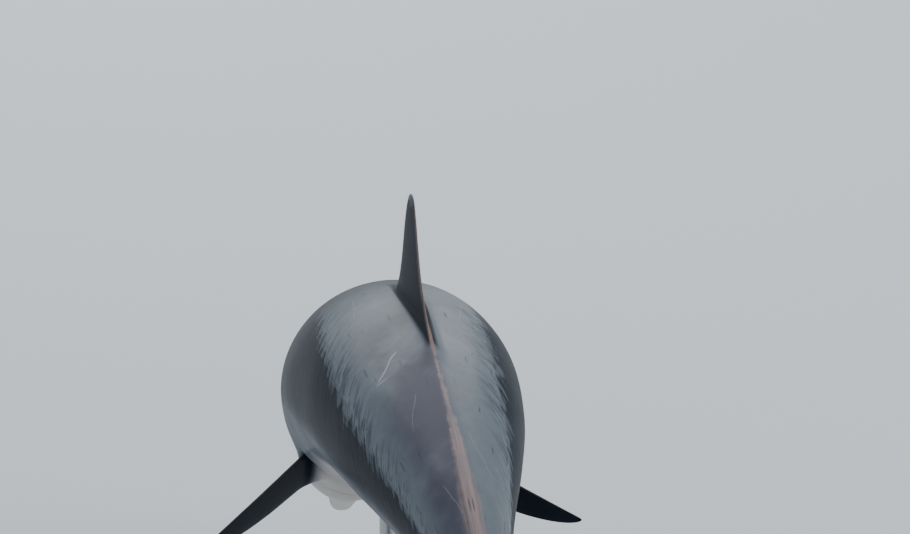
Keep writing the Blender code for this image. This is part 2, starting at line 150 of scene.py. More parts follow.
# %% Trunk, jaws, keels and the line of the mouth
TRUNK = (
    (0.0310, 0.031, -0.015, 0.014), (0.0350, 0.053, -0.006, 0.041), (0.0420, 0.079, 0.010, 0.062),
    (0.0530, 0.106, 0.032, 0.083), (0.0700, 0.132, 0.060, 0.105), (0.0890, 0.148, 0.082, 0.121),
    (0.1241, 0.160, 0.117, 0.139), (0.1550, 0.165, 0.143, 0.155), (0.2100, 0.184, 0.183, 0.186),
    (0.2800, 0.212, 0.218, 0.222), (0.3600, 0.231, 0.243, 0.246), (0.4400, 0.237, 0.250, 0.252),
    (0.5200, 0.232, 0.244, 0.247), (0.6100, 0.208, 0.222, 0.219), (0.6900, 0.173, 0.186, 0.171),
    (0.7600, 0.138, 0.146, 0.119), (0.8300, 0.102, 0.105, 0.075), (0.9000, 0.070, 0.070, 0.042),
    (0.9500, 0.036, 0.035, 0.034), (0.9700, 0.023, 0.022, 0.030), (0.9850, 0.014, 0.013, 0.022),
    (1.0000, 0.006, 0.006, 0.012),
)  # share of the length, then from the spine: height of the back, depth of the belly, half width
JAWS = (
    (0.0000, 0.020, 0.023, 0.029), (0.0172, 0.025, 0.029, 0.035), (0.0310, 0.030, 0.036, 0.042),
    (0.0414, 0.030, 0.044, 0.050), (0.0552, 0.030, 0.056, 0.063), (0.0690, 0.032, 0.068, 0.078),
    (0.0862, 0.035, 0.084, 0.096), (0.1069, 0.040, 0.103, 0.117), (0.1241, 0.040, 0.116, 0.128),
    (0.1550, 0.040, 0.128, 0.132),
)  # the same four measures
KEELS = (
    (0.56, 0.000, 0.000), (0.62, 0.009, 0.000), (0.72, 0.011, 0.003),
    (0.82, 0.012, 0.010), (0.92, 0.008, 0.008), (0.98, 0.000, 0.000),
)  # share, height of the keel on the back, depth of the keel below
MOUTH = (
    (0.000, -0.002), (0.060, -0.001), (0.088, 0.004), (0.107, 0.013), (0.150, 0.008), (0.210, 0.0),
)  # share, height of the mouth's line over the spine
KEEL_WIDTH = 0.017
BEAK_NOSE = 0.032  # length over which the tip of a jaw rounds off
UPPER_BEAK_SET_BACK = 0.007  # the lower jaw is the longer one
NOSE_BLUNTNESS, JAW_SQUARENESS, MELON_CREASE = 2.5, 2.25, 12.0
trunk_at, jaws_at, keels_at, mouth_at = smooth(TRUNK), smooth(JAWS), smooth(KEELS), smooth(MOUTH)


# %% Where the skin lies
def ellipse_reach(across, up, top, bottom, half):
    """How far a ray from the spine goes to leave an ellipse that may lie above the spine."""
    middle, tall = (top - bottom) / 2, (top + bottom) / 2
    a = (across / half) ** 2 + (up / tall) ** 2
    b = up * middle / tall**2
    inside = b * b - a * ((middle / tall) ** 2 - 1)
    return max((b + math.sqrt(inside)) / a, 0.0) if inside > 0 else 0.0


def skin_radius(station, climb):
    """Distance from the spine to the skin."""
    share = station / BODY_LENGTH
    across, up = math.cos(math.radians(climb)), math.sin(math.radians(climb))
    jaw_top, jaw_bottom, jaw_half = jaws_at(share)
    tall = jaw_top if up > 0 else jaw_bottom
    squared = (across / jaw_half) ** JAW_SQUARENESS + (abs(up) / tall) ** JAW_SQUARENESS
    into_nose = (station - (UPPER_BEAK_SET_BACK if up > 0 else 0.0)) / BEAK_NOSE
    nose = (1 - (1 - min(max(into_nose, 0.0), 1.0)) ** NOSE_BLUNTNESS) ** (1 / NOSE_BLUNTNESS)
    jaw = squared ** (-1 / JAW_SQUARENESS) * nose
    if share < TRUNK[0][0]:
        return jaw
    trunk = ellipse_reach(across, up, *trunk_at(share))
    both = (jaw**MELON_CREASE + trunk**MELON_CREASE) ** (1 / MELON_CREASE)
    if share >= JAWS[-1][0]:
        both = trunk
    keel = keels_at(share)[0 if up > 0 else 1]
    return both + keel * math.exp(-((both * across / KEEL_WIDTH) ** 2))


def skin_point(station, side, climb, out=0.0):
    """A point on the skin, or out metres outside it."""
    place, _, upward = spine(station)
    share = station / BODY_LENGTH
    mouth_angle = math.degrees(math.atan2(mouth_at(share), jaws_at(share)[2]))
    lifted = climb + mouth_angle * (1 - abs(climb) / 90)
    reach = skin_radius(station, lifted) + out
    turn = math.radians(lifted)
    return place + Vector((0, side * reach * math.cos(turn), 0)) + upward * (reach * math.sin(turn))


widest = 0.44 * BODY_LENGTH
girth = sum((skin_point(widest, 1, c) - skin_point(widest, 1, c + 5)).length for c in range(-90, 90, 5)) * 2
print("greatest girth, in metres:", round(girth, 2))

# %% [markdown]
# ## The cage of the skin
#
# The skin is modelled coarse and then subdivided, as a sculptor starts from a cage of wire. It could
# be remeshed from the solids instead, but a remesh leaves stepped lips and blunt fins. A drawn cage
# puts its lines where the animal's own lines run: one along the mouth, one along the crown, and
# rings round the body that lie closest where the form changes fastest, at the head.
#
# First the stations of the rings. The first few close in on the tip of the beak, at even shares of
# its roundness. Then the climbs of the forty columns, which lie close by the lips and the eye in
# front, but are spread evenly over the trunk. Column 0 is the left side's mouth and flank line, 10 the
# middle of the back, 20 the right side's line, and 30 the middle of the belly.

# %% Where the rings and columns of the cage lie
QUADRANT = 10  # columns from the flank to the middle of the back
COLUMNS = 4 * QUADRANT
BACK, BELLY = QUADRANT, 3 * QUADRANT
FLANK_COLUMNS = (0, 2 * QUADRANT)  # along the mouth and the flank, left and right
NOSE_RINGS = (0.06, 0.20, 0.36, 0.52, 0.67, 0.79, 0.89, 0.96)  # shares of the full girth of the beak
RING_STEPS = (
    (BEAK_NOSE, 0.067, 4), (0.067, 0.115, 6), (0.115, 0.160, 4), (0.160, 0.471, 24), (0.471, 0.600, 6),
    (0.600, 0.820, 8), (0.820, 1.360, 10), (1.360, 1.920, 14), (1.920, 2.600, 13), (2.600, 2.885, 12),
)  # from station, to station, number of steps
CLIMBS = smooth((
    (0.45, 0, 2.0, 6.0, 10.5, 15.0, 19.5, 28, 41, 57, 74, 90),
    (0.62, 0, 9, 18, 28, 40, 52, 60, 68, 76, 83, 90),
    (0.84, 0, 9, 18, 28, 40, 52, 60, 68, 76, 83, 90),
    (1.10, 0, 9, 18, 27, 36, 45, 54, 63, 72, 82, 90),
    (2.30, 0, 9, 18, 27, 36, 45, 54, 63, 72, 82, 90),
    (2.60, 0, 17, 27, 37, 46, 55, 64, 72, 79, 85, 90),
))  # station, then the climb of each column from the flank to the back

stations = [BEAK_NOSE * (1 - (1 - share**NOSE_BLUNTNESS) ** (1 / NOSE_BLUNTNESS)) for share in NOSE_RINGS]
stations.append(BEAK_NOSE)
for start, end, count in RING_STEPS:
    stations += [start + (end - start) * (k + 1) / count for k in range(count)]
print(len(stations), "rings of", COLUMNS, "corners")


def column_side(column):
    """+1 on the left, -1 on the right."""
    return 1 if column <= BACK or column > BELLY else -1


def column_level(column):
    """How many columns above the flank line a column runs, negative below it."""
    if column <= BACK:
        return column
    return 2 * QUADRANT - column if column <= BELLY else column - COLUMNS


def column_climb(station, column):
    """The climb of a column where it crosses a station."""
    level = column_level(column)
    return math.copysign(CLIMBS(station)[abs(level)], level)


# %% [markdown]
# The lips are a slit in this cage: the column along the mouth is pushed into the head, the columns
# beside it are rolled out a little, and both fade out at the corner of the mouth. Near the tip of
# the beak the slit turns, so that it runs across the front as well. There the lower jaw is the
# longer one, so each ring slides back above the mouth, with a soft change from one lip to the other.

# %% Lips
GAPE_START, GAPE_END = 0.292, 0.322  # stations between which the slit of the mouth fades out
LIP_DEPTH, LIP_ROLL = 0.0048, 0.0008
SLIT_CREASE = 0.7  # how sharp the bottom of the slit stays when the cage is rounded, from 0 to 1
TIP_LENGTH = 0.05  # length of the beak over which its upper half is slid back
FRONT_LENGTH = 0.012  # length over which the slit turns to run across the front
LIP_STEP = (-0.007, 0.005)  # heights from the mouth between which the front slides back


def ease(low, high, value):
    """0 below low, 1 above high, and a smooth change between them."""
    share = min(max((value - low) / (high - low), 0.0), 1.0)
    return share * share * (3 - 2 * share)


def cage_corner(station, column):
    """Where a corner of the cage lies."""
    level, climb = column_level(column), column_climb(station, column)
    parted = 1 - ease(GAPE_START, GAPE_END, station)
    out = -LIP_DEPTH * parted if level == 0 else LIP_ROLL * parted if abs(level) == 1 else 0.0
    sideways = ease(0.0, FRONT_LENGTH, station)
    set_back = UPPER_BEAK_SET_BACK * max(0.0, 1 - station / TIP_LENGTH)
    chart_station = station + (set_back if level > 0 else 0.0)
    on_skin = skin_point(chart_station, column_side(column), climb, out * sideways)
    over_mouth = skin_radius(chart_station, climb) * math.sin(math.radians(climb))
    slid = set_back * ease(*LIP_STEP, over_mouth) - out * (1 - sideways)
    return spine(station + slid)[0] + (on_skin - spine(chart_station)[0])


# %% [markdown]
# The cage is drawn as a person would draw it. A circle of forty corners is added, and its edges are
# extruded ring by ring to the tail. Each corner carries numbers of its own, its ring and column
# among them. What is extruded from a corner inherits them, so any part of the cage can be found
# again. Station and climb are carried too, because the colours will need them. On the rounded tip
# the climb is made less, ring by ring, so that the colours run across it level.

# %% Helpers for modelling
def deselect_all():
    """Deselects every object, because an operator acts on all that is selected."""
    bpy.ops.object.select_all(action="DESELECT")


def new_piece(add_primitive, name, **settings):
    """Adds a primitive with a name, and puts its place in its mesh."""
    deselect_all()
    add_primitive(**settings)
    piece = bpy.context.object
    piece.name = piece.data.name = name
    bpy.ops.object.transform_apply(location=True, rotation=True, scale=True)
    return piece


def edit_all():
    """Opens the mesh in edit mode, with all its corners selected."""
    bpy.ops.object.mode_set(mode="EDIT")
    bpy.ops.mesh.select_mode(type="VERT")
    bpy.ops.mesh.select_all(action="SELECT")


def open_cage():
    """The cage in edit mode, and the whole numbers and the measures that its corners carry."""
    cage = bmesh.from_edit_mesh(skin.data)
    return cage, cage.verts.layers.int, cage.verts.layers.float


# %% Draw the cage ring by ring
skin = new_piece(
    bpy.ops.mesh.primitive_circle_add, "skin", vertices=COLUMNS, radius=0.01, fill_type="NOTHING",
    calc_uvs=False)
skin.data.uv_layers.new(name="OFBake")
for name in ("ring", "column"):
    skin.data.attributes.new(name, "INT", "POINT")
for name in ("along", "across", "station", "climb", "fin", "fin_rim", "tipward", "lining"):
    skin.data.attributes.new(name, "FLOAT", "POINT")
for corner in skin.data.vertices:
    skin.data.attributes["column"].data[corner.index].value = corner.index

edit_all()
for ring, station in enumerate(stations):
    if ring:
        bpy.ops.mesh.extrude_region_move()
    cage, numbers, measures = open_cage()
    climb_share = (*NOSE_RINGS, 1.0)[min(ring, len(NOSE_RINGS))]
    for corner in cage.verts:
        if corner.select:
            column = corner[numbers["column"]]
            corner[numbers["ring"]] = ring
            corner[measures["station"]] = station
            corner[measures["climb"]] = column_climb(station, column) * climb_share
            corner.co = cage_corner(station, column)
    bmesh.update_edit_mesh(skin.data)
print("cage drawn:", len(cage.verts), "corners")


# %% Close both ends, and keep the slit of the mouth sharp
def select_corners(wanted):
    """Selects the corners for which wanted(ring, column) is true, and all that lies between them."""
    bpy.ops.mesh.select_all(action="DESELECT")
    cage, numbers, _ = open_cage()
    for corner in cage.verts:
        corner.select = wanted(corner[numbers["ring"]], corner[numbers["column"]])
    cage.select_flush(True)
    bmesh.update_edit_mesh(skin.data)


def point_outwards():
    """Turns all the faces of the mesh in edit mode outwards."""
    bpy.ops.mesh.select_all(action="SELECT")
    bpy.ops.mesh.normals_make_consistent(inside=False)


def ring_near(station):
    """The number of the ring that lies nearest to a station."""
    return min(range(len(stations)), key=lambda k: abs(stations[k] - station))


for last in (0, len(stations) - 1):
    select_corners(lambda ring, column: ring == last)
    bpy.ops.mesh.edge_face_add()
select_corners(lambda ring, column: ring == 0 and column in FLANK_COLUMNS)
bpy.ops.mesh.vert_connect()  # an edge across the tip, so that the slit runs on from side to side
point_outwards()
gape_ring = ring_near(GAPE_START)
select_corners(lambda ring, column: ring <= gape_ring and column in FLANK_COLUMNS)
bpy.ops.transform.edge_crease(value=SLIT_CREASE)
print("slit of the mouth:", round(stations[gape_ring], 3), "m long")

# %% [markdown]
# ## Patches that grow
#
# Lids, blowhole and fins all start as a patch of the cage. A patch is selected by its rings and
# columns, and each of its corners is told how far along and across the patch it lies, from -1 to 1.
# Then the patch is extruded once for each loop that the piece needs, and a small function puts each
# new corner in its place. Inset would do for a round hole, but it can't follow an almond or a wing.


# %% Select a patch, and extrude it loop by loop
GROWN = -1  # the ring number of corners that lie on no ring


def on_both_sides(*columns):
    """The left side, +1, and the right side, -1, each with its own of these columns."""
    return (1, list(columns)), (-1, [(2 * QUADRANT - column) % COLUMNS for column in columns])


def select_patch(low, high, columns):
    """Selects the faces between two rings, over columns given in order, and numbers their corners."""
    select_corners(lambda ring, column: low <= ring <= high and column in columns)
    cage, numbers, measures = open_cage()
    for corner in cage.verts:
        if corner.select:
            strip = columns.index(corner[numbers["column"]])
            corner[measures["along"]] = 2 * (corner[numbers["ring"]] - low) / (high - low) - 1
            corner[measures["across"]] = 2 * strip / (len(columns) - 1) - 1
    bmesh.update_edit_mesh(skin.data)


def extrude_patch(put, **measured):
    """Extrudes the selected patch once. put(along, across) gives the place of each new corner.

    Measures for the corners are given by name: a number, or a function of along and across.
    """
    bpy.ops.mesh.extrude_region_move()
    cage, numbers, measures = open_cage()
    for corner in cage.verts:
        if corner.select:
            at = corner[measures["along"]], corner[measures["across"]]
            corner[numbers["ring"]] = GROWN
            corner.co = put(*at)
            for name, value in measured.items():
                corner[measures[name]] = value(*at) if callable(value) else value
    bmesh.update_edit_mesh(skin.data)


def disc(along, across):
    """Spreads the corners of a square patch over a round one."""
    return along * math.sqrt(1 - across**2 / 2), across * math.sqrt(1 - along**2 / 2)


# %% [markdown]
# ## Lids round the eyes
#
# A dolphin's eye sits low on the side of the head, behind the corner of the mouth. It bulges from a
# soft hollow, between thick lids that leave an almond open. Lids could be cut into the head with a
# boolean, but a boolean's edge is hard all round. Here the patch round each eye is extruded in loops
# that get smaller: hollow, fold, swollen lid, margin, and a lining that tucks in over the eyeball.
# Each loop lies on the eyeball, some way out, or on the skin, whichever is higher. The innermost faces
# stay as a dome just under the eyeball's surface, so that the skin is closed.

# %% Loops of the lids
EYE_STATION, EYE_CLIMB = 0.368, 10.5
LID_LOOPS = (
    (0.0250, 0.0175, None, -0.0004),
    (0.0222, 0.0148, None, -0.0014),
    (0.0196, 0.0120, 0.0022, -0.0006),
    (0.0172, 0.0096, 0.0032, 0.0002),
    (0.0150, 0.0078, 0.0027, -0.0004),
    (0.0134, 0.0065, 0.0014, -0.0022),
    (0.0128, 0.0060, 0.0000, None),
    (0.0136, 0.0072, -0.0016, None),
)  # half length and half height of a loop, how far it stands off the eyeball, and off the skin
EYE_POINT = 0.30  # how much flatter than an ellipse the almond is at its corners
EYE_COLUMNS = (1, 2, 3, 4, 5)  # on the left
eye_ring = ring_near(EYE_STATION)
eye_girth = skin_radius(EYE_STATION, EYE_CLIMB)


def eye_axes(side):
    """Centre and radius of an eyeball, with its directions out, back and up."""
    low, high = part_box("eye_left" if side > 0 else "eye_right")
    outward = (skin_point(EYE_STATION, side, EYE_CLIMB) - spine(EYE_STATION)[0]).normalized()
    tailward = spine(EYE_STATION)[1]
    backward = (tailward - outward * tailward.dot(outward)).normalized()
    return (low + high) / 2, (high.x - low.x) / 2, outward, backward, outward.cross(backward) * side


# %% Grow the lids
for side, columns in on_both_sides(*EYE_COLUMNS):
    centre, radius, outward, backward, upward = eye_axes(side)
    select_patch(eye_ring - 2, eye_ring + 2, columns)
    for half_long, half_high, off_eyeball, off_skin in LID_LOOPS:

        def across_the_eye(along, across):
            back, up = disc(along, across)
            return back * half_long, up * half_high * (1 - EYE_POINT * back**2)

        def station_at(along, across):
            return EYE_STATION + across_the_eye(along, across)[0]

        def climb_at(along, across):
            return EYE_CLIMB + math.degrees(across_the_eye(along, across)[1] / eye_girth)

        def lid(along, across):
            back, up = across_the_eye(along, across)
            heights = []
            if off_eyeball is not None:
                bulge = (radius + off_eyeball) ** 2 - back**2 - up**2
                heights.append(math.sqrt(max(bulge, 0.0)))
            if off_skin is not None:
                on_skin = skin_point(station_at(along, across), side, climb_at(along, across), off_skin)
                heights.append((on_skin - centre).dot(outward))
            return centre + backward * back + upward * up + outward * max(heights)

        extrude_patch(lid, station=station_at, climb=climb_at, lining=float(off_skin is None))
half_long, half_high, _, _ = LID_LOOPS[-2]
print("the lids leave", 2000 * half_long, "by", 2000 * half_high, "mm of the eye open")

# %% [markdown]
# ## The blowhole
#
# The single nostril lies on the crown, a little left of the middle. Shut, it is a crescent slit,
# with its horns towards the beak and a low rim round it. It is grown from a patch too, bent to the
# crescent, and its last loops go down between the lips.

# %% Loops of the blowhole
BLOWHOLE_STATION, BLOWHOLE_LEFT = 0.352, 0.005
BLOWHOLE_LOOPS = (
    (0.0360, 0.0240, 0.0000, 0.0000, 0.0),
    (0.0280, 0.0150, 0.0060, 0.0006, 0.0),
    (0.0225, 0.0088, 0.0110, 0.0017, 0.0),
    (0.0192, 0.0044, 0.0130, 0.0015, 0.0),
    (0.0174, 0.0019, 0.0135, -0.0010, 1.0),
    (0.0166, 0.0014, 0.0135, -0.0060, 1.0),
    (0.0150, 0.0010, 0.0135, -0.0110, 1.0),
)  # half width, half length, bend of the crescent, height over the crown, and whether it lines the slit
CROWN_COLUMNS = [BACK - 1, BACK, BACK + 1]  # across the middle of the back
hole_ring = ring_near(BLOWHOLE_STATION)
select_patch(hole_ring - 2, hole_ring + 2, CROWN_COLUMNS)
for half_wide, half_long, bend, height, lines in BLOWHOLE_LOOPS:

    def station_at(along, across):
        long, wide = disc(along, across)
        return BLOWHOLE_STATION + bend * (0.5 - wide**2) + long * half_long

    def left_at(along, across):
        return BLOWHOLE_LEFT - disc(along, across)[1] * half_wide

    def climb_at(along, across):
        return 90 - abs(math.degrees(left_at(along, across) / skin_radius(BLOWHOLE_STATION, 90)))

    def blowhole(along, across):
        side = math.copysign(1, left_at(along, across))
        return skin_point(station_at(along, across), side, climb_at(along, across), height)

    extrude_patch(blowhole, station=station_at, climb=climb_at, lining=lines)
print("blowhole:", 2000 * BLOWHOLE_LOOPS[3][0], "mm wide,", -1000 * BLOWHOLE_LOOPS[-1][3], "mm deep")

# %% [markdown]
# ## Fins
#
# A dolphin's fins are wings of tough tissue: round in front, thin as card behind, with a flared foot
# where the skin runs over from the body. Each one grows from its patch through a row of sections.
# A section's corners lie on a wing curve between its front edge and its rear edge, and those two come
# from the same rows of measures as the solid fins.

# %% Wing sections
FIN_EDGE = 0.0007  # half the thickness of a rear edge
WING_TERMS = ((0.2969, 0.5), (-0.126, 1), (-0.3516, 2), (0.2843, 3), (-0.1036, 4))  # factor, power
SIDE_START, SIDE_END = 0.012, 0.982  # where the two sides of a section begin and end, in shares of it


def wing_thickness(share):
    """Half the thickness of a symmetrical wing section as thick as it is long."""
    return 5 * sum(factor * share**power for factor, power in WING_TERMS)


def wing_corner(along, across, lead, trail, thickness):
    """How far back and how far out a corner of a section lies."""
    share = (1 - math.cos(math.pi * (along + 1) / 2)) / 2
    share = share * (1 - (SIDE_START + 1 - SIDE_END) * abs(across)) + SIDE_START * abs(across)
    chord = trail - lead
    return lead + chord * share, across * (chord * thickness * wing_thickness(share) + FIN_EDGE)


def rear_edge(along, across):
    """1 on the rear edge of a fin, 0 over the rest of it."""
    return ease(0.62, 0.97, along)


def faint_edge(along, across):
    """The same, for fins that are hardly rubbed."""
    return 0.3 * ease(0.70, 0.98, along)


# %% Grow a fin
def grow_fin(root_stations, columns, outline, sections, put, rim):
    """Grows a fin from a patch, section by section.

    put(share, back, out) gives the place of a corner of the section at that share of the length.
    """
    select_patch(*map(ring_near, root_stations), columns)
    for share in sections:

        def section(along, across):
            return put(share, *wing_corner(along, across, *outline(share)))

        extrude_patch(section, fin=1.0, fin_rim=rim, tipward=share)


# %% The dorsal fin
FIN_STATION, FIN_HEIGHT, FIN_LEAN, BACK_ARCH_RADIUS = 1.615, 0.274, 0.010, 1.45
FIN_ROOT = (1.31, 1.88)  # stations between which its patch lies
FIN_SECTIONS = (0.035, 0.09, 0.17, 0.28, 0.40, 0.53, 0.66, 0.78, 0.88, 0.95, 0.985, 1.0)
fin_outline = smooth((
    (-0.34, -0.262, 0.300, 0.135), (-0.12, -0.258, 0.282, 0.118), (0.00, -0.225, 0.236, 0.108),
    (0.08, -0.196, 0.188, 0.108), (0.20, -0.158, 0.146, 0.107), (0.40, -0.114, 0.114, 0.102),
    (0.60, -0.077, 0.103, 0.096), (0.78, -0.040, 0.099, 0.088), (0.90, -0.008, 0.092, 0.084),
    (0.97, 0.018, 0.085, 0.090), (1.00, 0.038, 0.074, 0.110),
))  # share of the height, front edge, rear edge, thickness by chord
place, tailward, upward = spine(FIN_STATION)
foot = place + upward * skin_radius(FIN_STATION, 90)


def fin_corner(share, back, right):
    sag = back**2 / (2 * BACK_ARCH_RADIUS) * (1 - share)
    sideways = Vector((0, FIN_LEAN * share - right, 0))
    return foot + tailward * back + upward * (share * FIN_HEIGHT - sag) + sideways


grow_fin(FIN_ROOT, CROWN_COLUMNS, fin_outline, FIN_SECTIONS, fin_corner, rear_edge)
print("the dorsal fin stands", FIN_HEIGHT, "m over the back")

# %% The flippers
FLIPPER_STATION, FLIPPER_CLIMB, FLIPPER_LENGTH, FLIPPER_DROOP = 0.715, -40.0, 0.47, 0.055
FLIPPER_ROOT_DEPTH = 0.052  # how far inside the skin the flipper's own measures start
FLIPPER_REACH = (0.30, 0.74, 0.60)  # how far it points towards the tail, sideways and down
FLIPPER_TWIST = 0.22  # how far its flat side is turned out of the level
FLIPPER_ROOT, FLIPPER_COLUMNS = (0.6275, 0.82), (35, 36, 37)  # stations, and columns on the left
FLIPPER_SECTIONS = (0.15, 0.20, 0.27, 0.36, 0.46, 0.57, 0.68, 0.78, 0.86, 0.92, 0.965, 0.99, 1.0)
flipper_outline = smooth((
    (0.00, -0.086, 0.092, 0.150), (0.10, -0.086, 0.084, 0.135), (0.20, -0.082, 0.078, 0.120),
    (0.35, -0.074, 0.078, 0.100), (0.52, -0.050, 0.084, 0.088), (0.68, -0.012, 0.098, 0.080),
    (0.82, 0.036, 0.116, 0.074), (0.92, 0.082, 0.131, 0.068), (0.98, 0.118, 0.141, 0.062),
    (1.00, 0.136, 0.143, 0.060),
))  # the same four measures, by share of the length
_, tailward, upward = spine(FLIPPER_STATION)
for side, columns in on_both_sides(*FLIPPER_COLUMNS):
    root = skin_point(FLIPPER_STATION, side, FLIPPER_CLIMB, -FLIPPER_ROOT_DEPTH)
    to_tail, to_side, down = FLIPPER_REACH
    span = (Vector((0, side * to_side, 0)) - upward * down + tailward * to_tail).normalized()
    level_chord = (tailward - span * tailward.dot(span)).normalized()
    chord = (level_chord + span.cross(level_chord) * side * FLIPPER_TWIST).normalized()
    flat = span.cross(chord).normalized() * side

    def flipper_corner(share, back, out):
        droop = upward * (FLIPPER_DROOP * share**2)
        return root + span * (share * FLIPPER_LENGTH) + chord * back + flat * out - droop

    grow_fin(FLIPPER_ROOT, columns, flipper_outline, FLIPPER_SECTIONS, flipper_corner, faint_edge)
print("the flippers are", FLIPPER_LENGTH, "m long")

# %% The flukes
FLUKE_STATION, FLUKE_HALF_SPAN, FLUKE_DROOP, FLUKE_FLEX = 2.79, 0.345, 0.020, math.radians(7.0)
FLUKE_ROOT, FLUKE_COLUMNS = (2.65, 2.875), (39, 0, 1)  # stations, and columns on the left
FLUKE_SECTIONS = (0.10, 0.15, 0.22, 0.31, 0.42, 0.54, 0.66, 0.77, 0.86, 0.92, 0.965, 0.99, 1.0)
fluke_outline = smooth((
    (0.00, -0.255, 0.000, 0.120), (0.06, -0.235, 0.018, 0.112), (0.12, -0.205, 0.032, 0.104),
    (0.22, -0.163, 0.044, 0.094), (0.38, -0.108, 0.048, 0.086), (0.55, -0.052, 0.041, 0.080),
    (0.72, -0.002, 0.038, 0.074), (0.86, 0.034, 0.046, 0.068), (0.95, 0.054, 0.058, 0.064),
    (1.00, 0.067, 0.069, 0.060),
))  # the same four measures, by share of the half span
place, tailward, upward = spine(FLUKE_STATION)
fluke_back = tailward * math.cos(FLUKE_FLEX) + upward * math.sin(FLUKE_FLEX)
fluke_up = upward * math.cos(FLUKE_FLEX) - tailward * math.sin(FLUKE_FLEX)
notch = place + fluke_back * (BODY_LENGTH - FLUKE_STATION)
for side, columns in on_both_sides(*FLUKE_COLUMNS):

    def fluke_corner(share, back, out):
        raised = fluke_up * (out - FLUKE_DROOP * share**2)
        return notch + fluke_back * back + raised + Vector((0, side * share * FLUKE_HALF_SPAN, 0))

    grow_fin(FLUKE_ROOT, columns, fluke_outline, FLUKE_SECTIONS, fluke_corner, faint_edge)
print("the flukes span", 2 * FLUKE_HALF_SPAN, "m")

# %% [markdown]
# ## From cage to skin
#
# The cage is unwrapped first, while it is light. Seams run where a tailor would cut: down the belly,
# round the root of each fin, and along a fin's front and rear edges. Then the normals are made to
# agree, and two rounds of subdivision turn the cage into a smooth skin of small four-sided faces.
# The two rounds are applied, so that what is seen is the real mesh.

# %% Seams and the UV map
bpy.ops.mesh.select_mode(type="EDGE")
bpy.ops.mesh.select_all(action="DESELECT")
cage, numbers, measures = open_cage()
fin_faces = {face for face in cage.faces if any(corner[measures["fin"]] > 0.5 for corner in face.verts)}
for edge in cage.edges:
    at_root = len({face in fin_faces for face in edge.link_faces}) == 2
    down_belly = all(
        corner[numbers["column"]] == BELLY and corner[numbers["ring"]] != GROWN for corner in edge.verts)
    round_fin = all(
        abs(corner[measures["along"]]) > 0.99 and abs(corner[measures["across"]]) < 0.01
        for corner in edge.verts)
    edge.select_set(at_root or down_belly or round_fin)
bpy.ops.mesh.mark_seam()
bpy.ops.mesh.select_all(action="SELECT")
bpy.ops.uv.unwrap(method="ANGLE_BASED", margin=0.004)
print(sum(edge.seam for edge in cage.edges), "edges of seam")

# %% Subdivide the skin
bpy.ops.mesh.select_mode(type="VERT")
point_outwards()
bpy.ops.object.mode_set(mode="OBJECT")
print("cage:", len(skin.data.polygons), "faces")
deselect_all()
skin.select_set(True)
bpy.context.view_layer.objects.active = skin
rounding = skin.modifiers.new("rounding", "SUBSURF")
rounding.levels = rounding.render_levels = 2
bpy.ops.object.modifier_apply(modifier="rounding")
bpy.ops.object.shade_smooth()
print("skin:", sum(len(face.vertices) - 2 for face in skin.data.polygons), "triangles")

flesh = [
    "beak_upper", "jaw_lower", "head", "neck", "chest", "trunk", "loin", "tail_stock_front",
    "tail_stock_rear", "dorsal_fin", "flipper_left", "flipper_right", "fluke_left", "fluke_right",
]
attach(skin, "root")
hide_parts(*flesh)

# %% [markdown]
# ## The marking of the skin
#
# A bottlenose dolphin is countershaded: a dark cape over the back, mid grey flanks and a pale belly,
# with soft borders that differ along the body. The cape comes down to the eye on the head, and
# lower and lower behind it, until it covers the sides of the tail stock. Over the hump its low reach
# and its darkest tones are partly painted shade, which keeps the flanks dark. On the back, from the
# fin to the tail, the crown is painted paler than the cape: a painted sheen, standing in for the
# reflection of the bright light ahead on the wet back, with a frayed border that sits lower on the
# left side than on the right, where that reflection ends. One number, the shade, from 0 on the belly
# to 1 on the cape, is worked out for each corner of the mesh, and another says by how many degrees
# the corner lies inside the painted sheen. The borders could be painted by hand on an image, but a
# rule has no seams and any size.

# %% Shade of each corner: 0 on the belly, 1 on the cape
# The cape line sits low on the flanks over the hump: partly the animal's countershading, partly painted
# shade that keeps the flanks dark.
BORDERS = smooth((
    (0.00, -6, 16), (0.09, -10, 20), (0.20, -16, 14), (0.37, -22, 12), (0.55, -34, 12),
    (0.80, -40, 4), (1.25, -46, -10), (1.70, -50, -18), (2.00, -50, -20), (2.30, -58, -24),
    (2.55, -72, -30), (2.90, -80, -34),
))  # station, and the climb where the belly turns into the flank and the flank into the cape
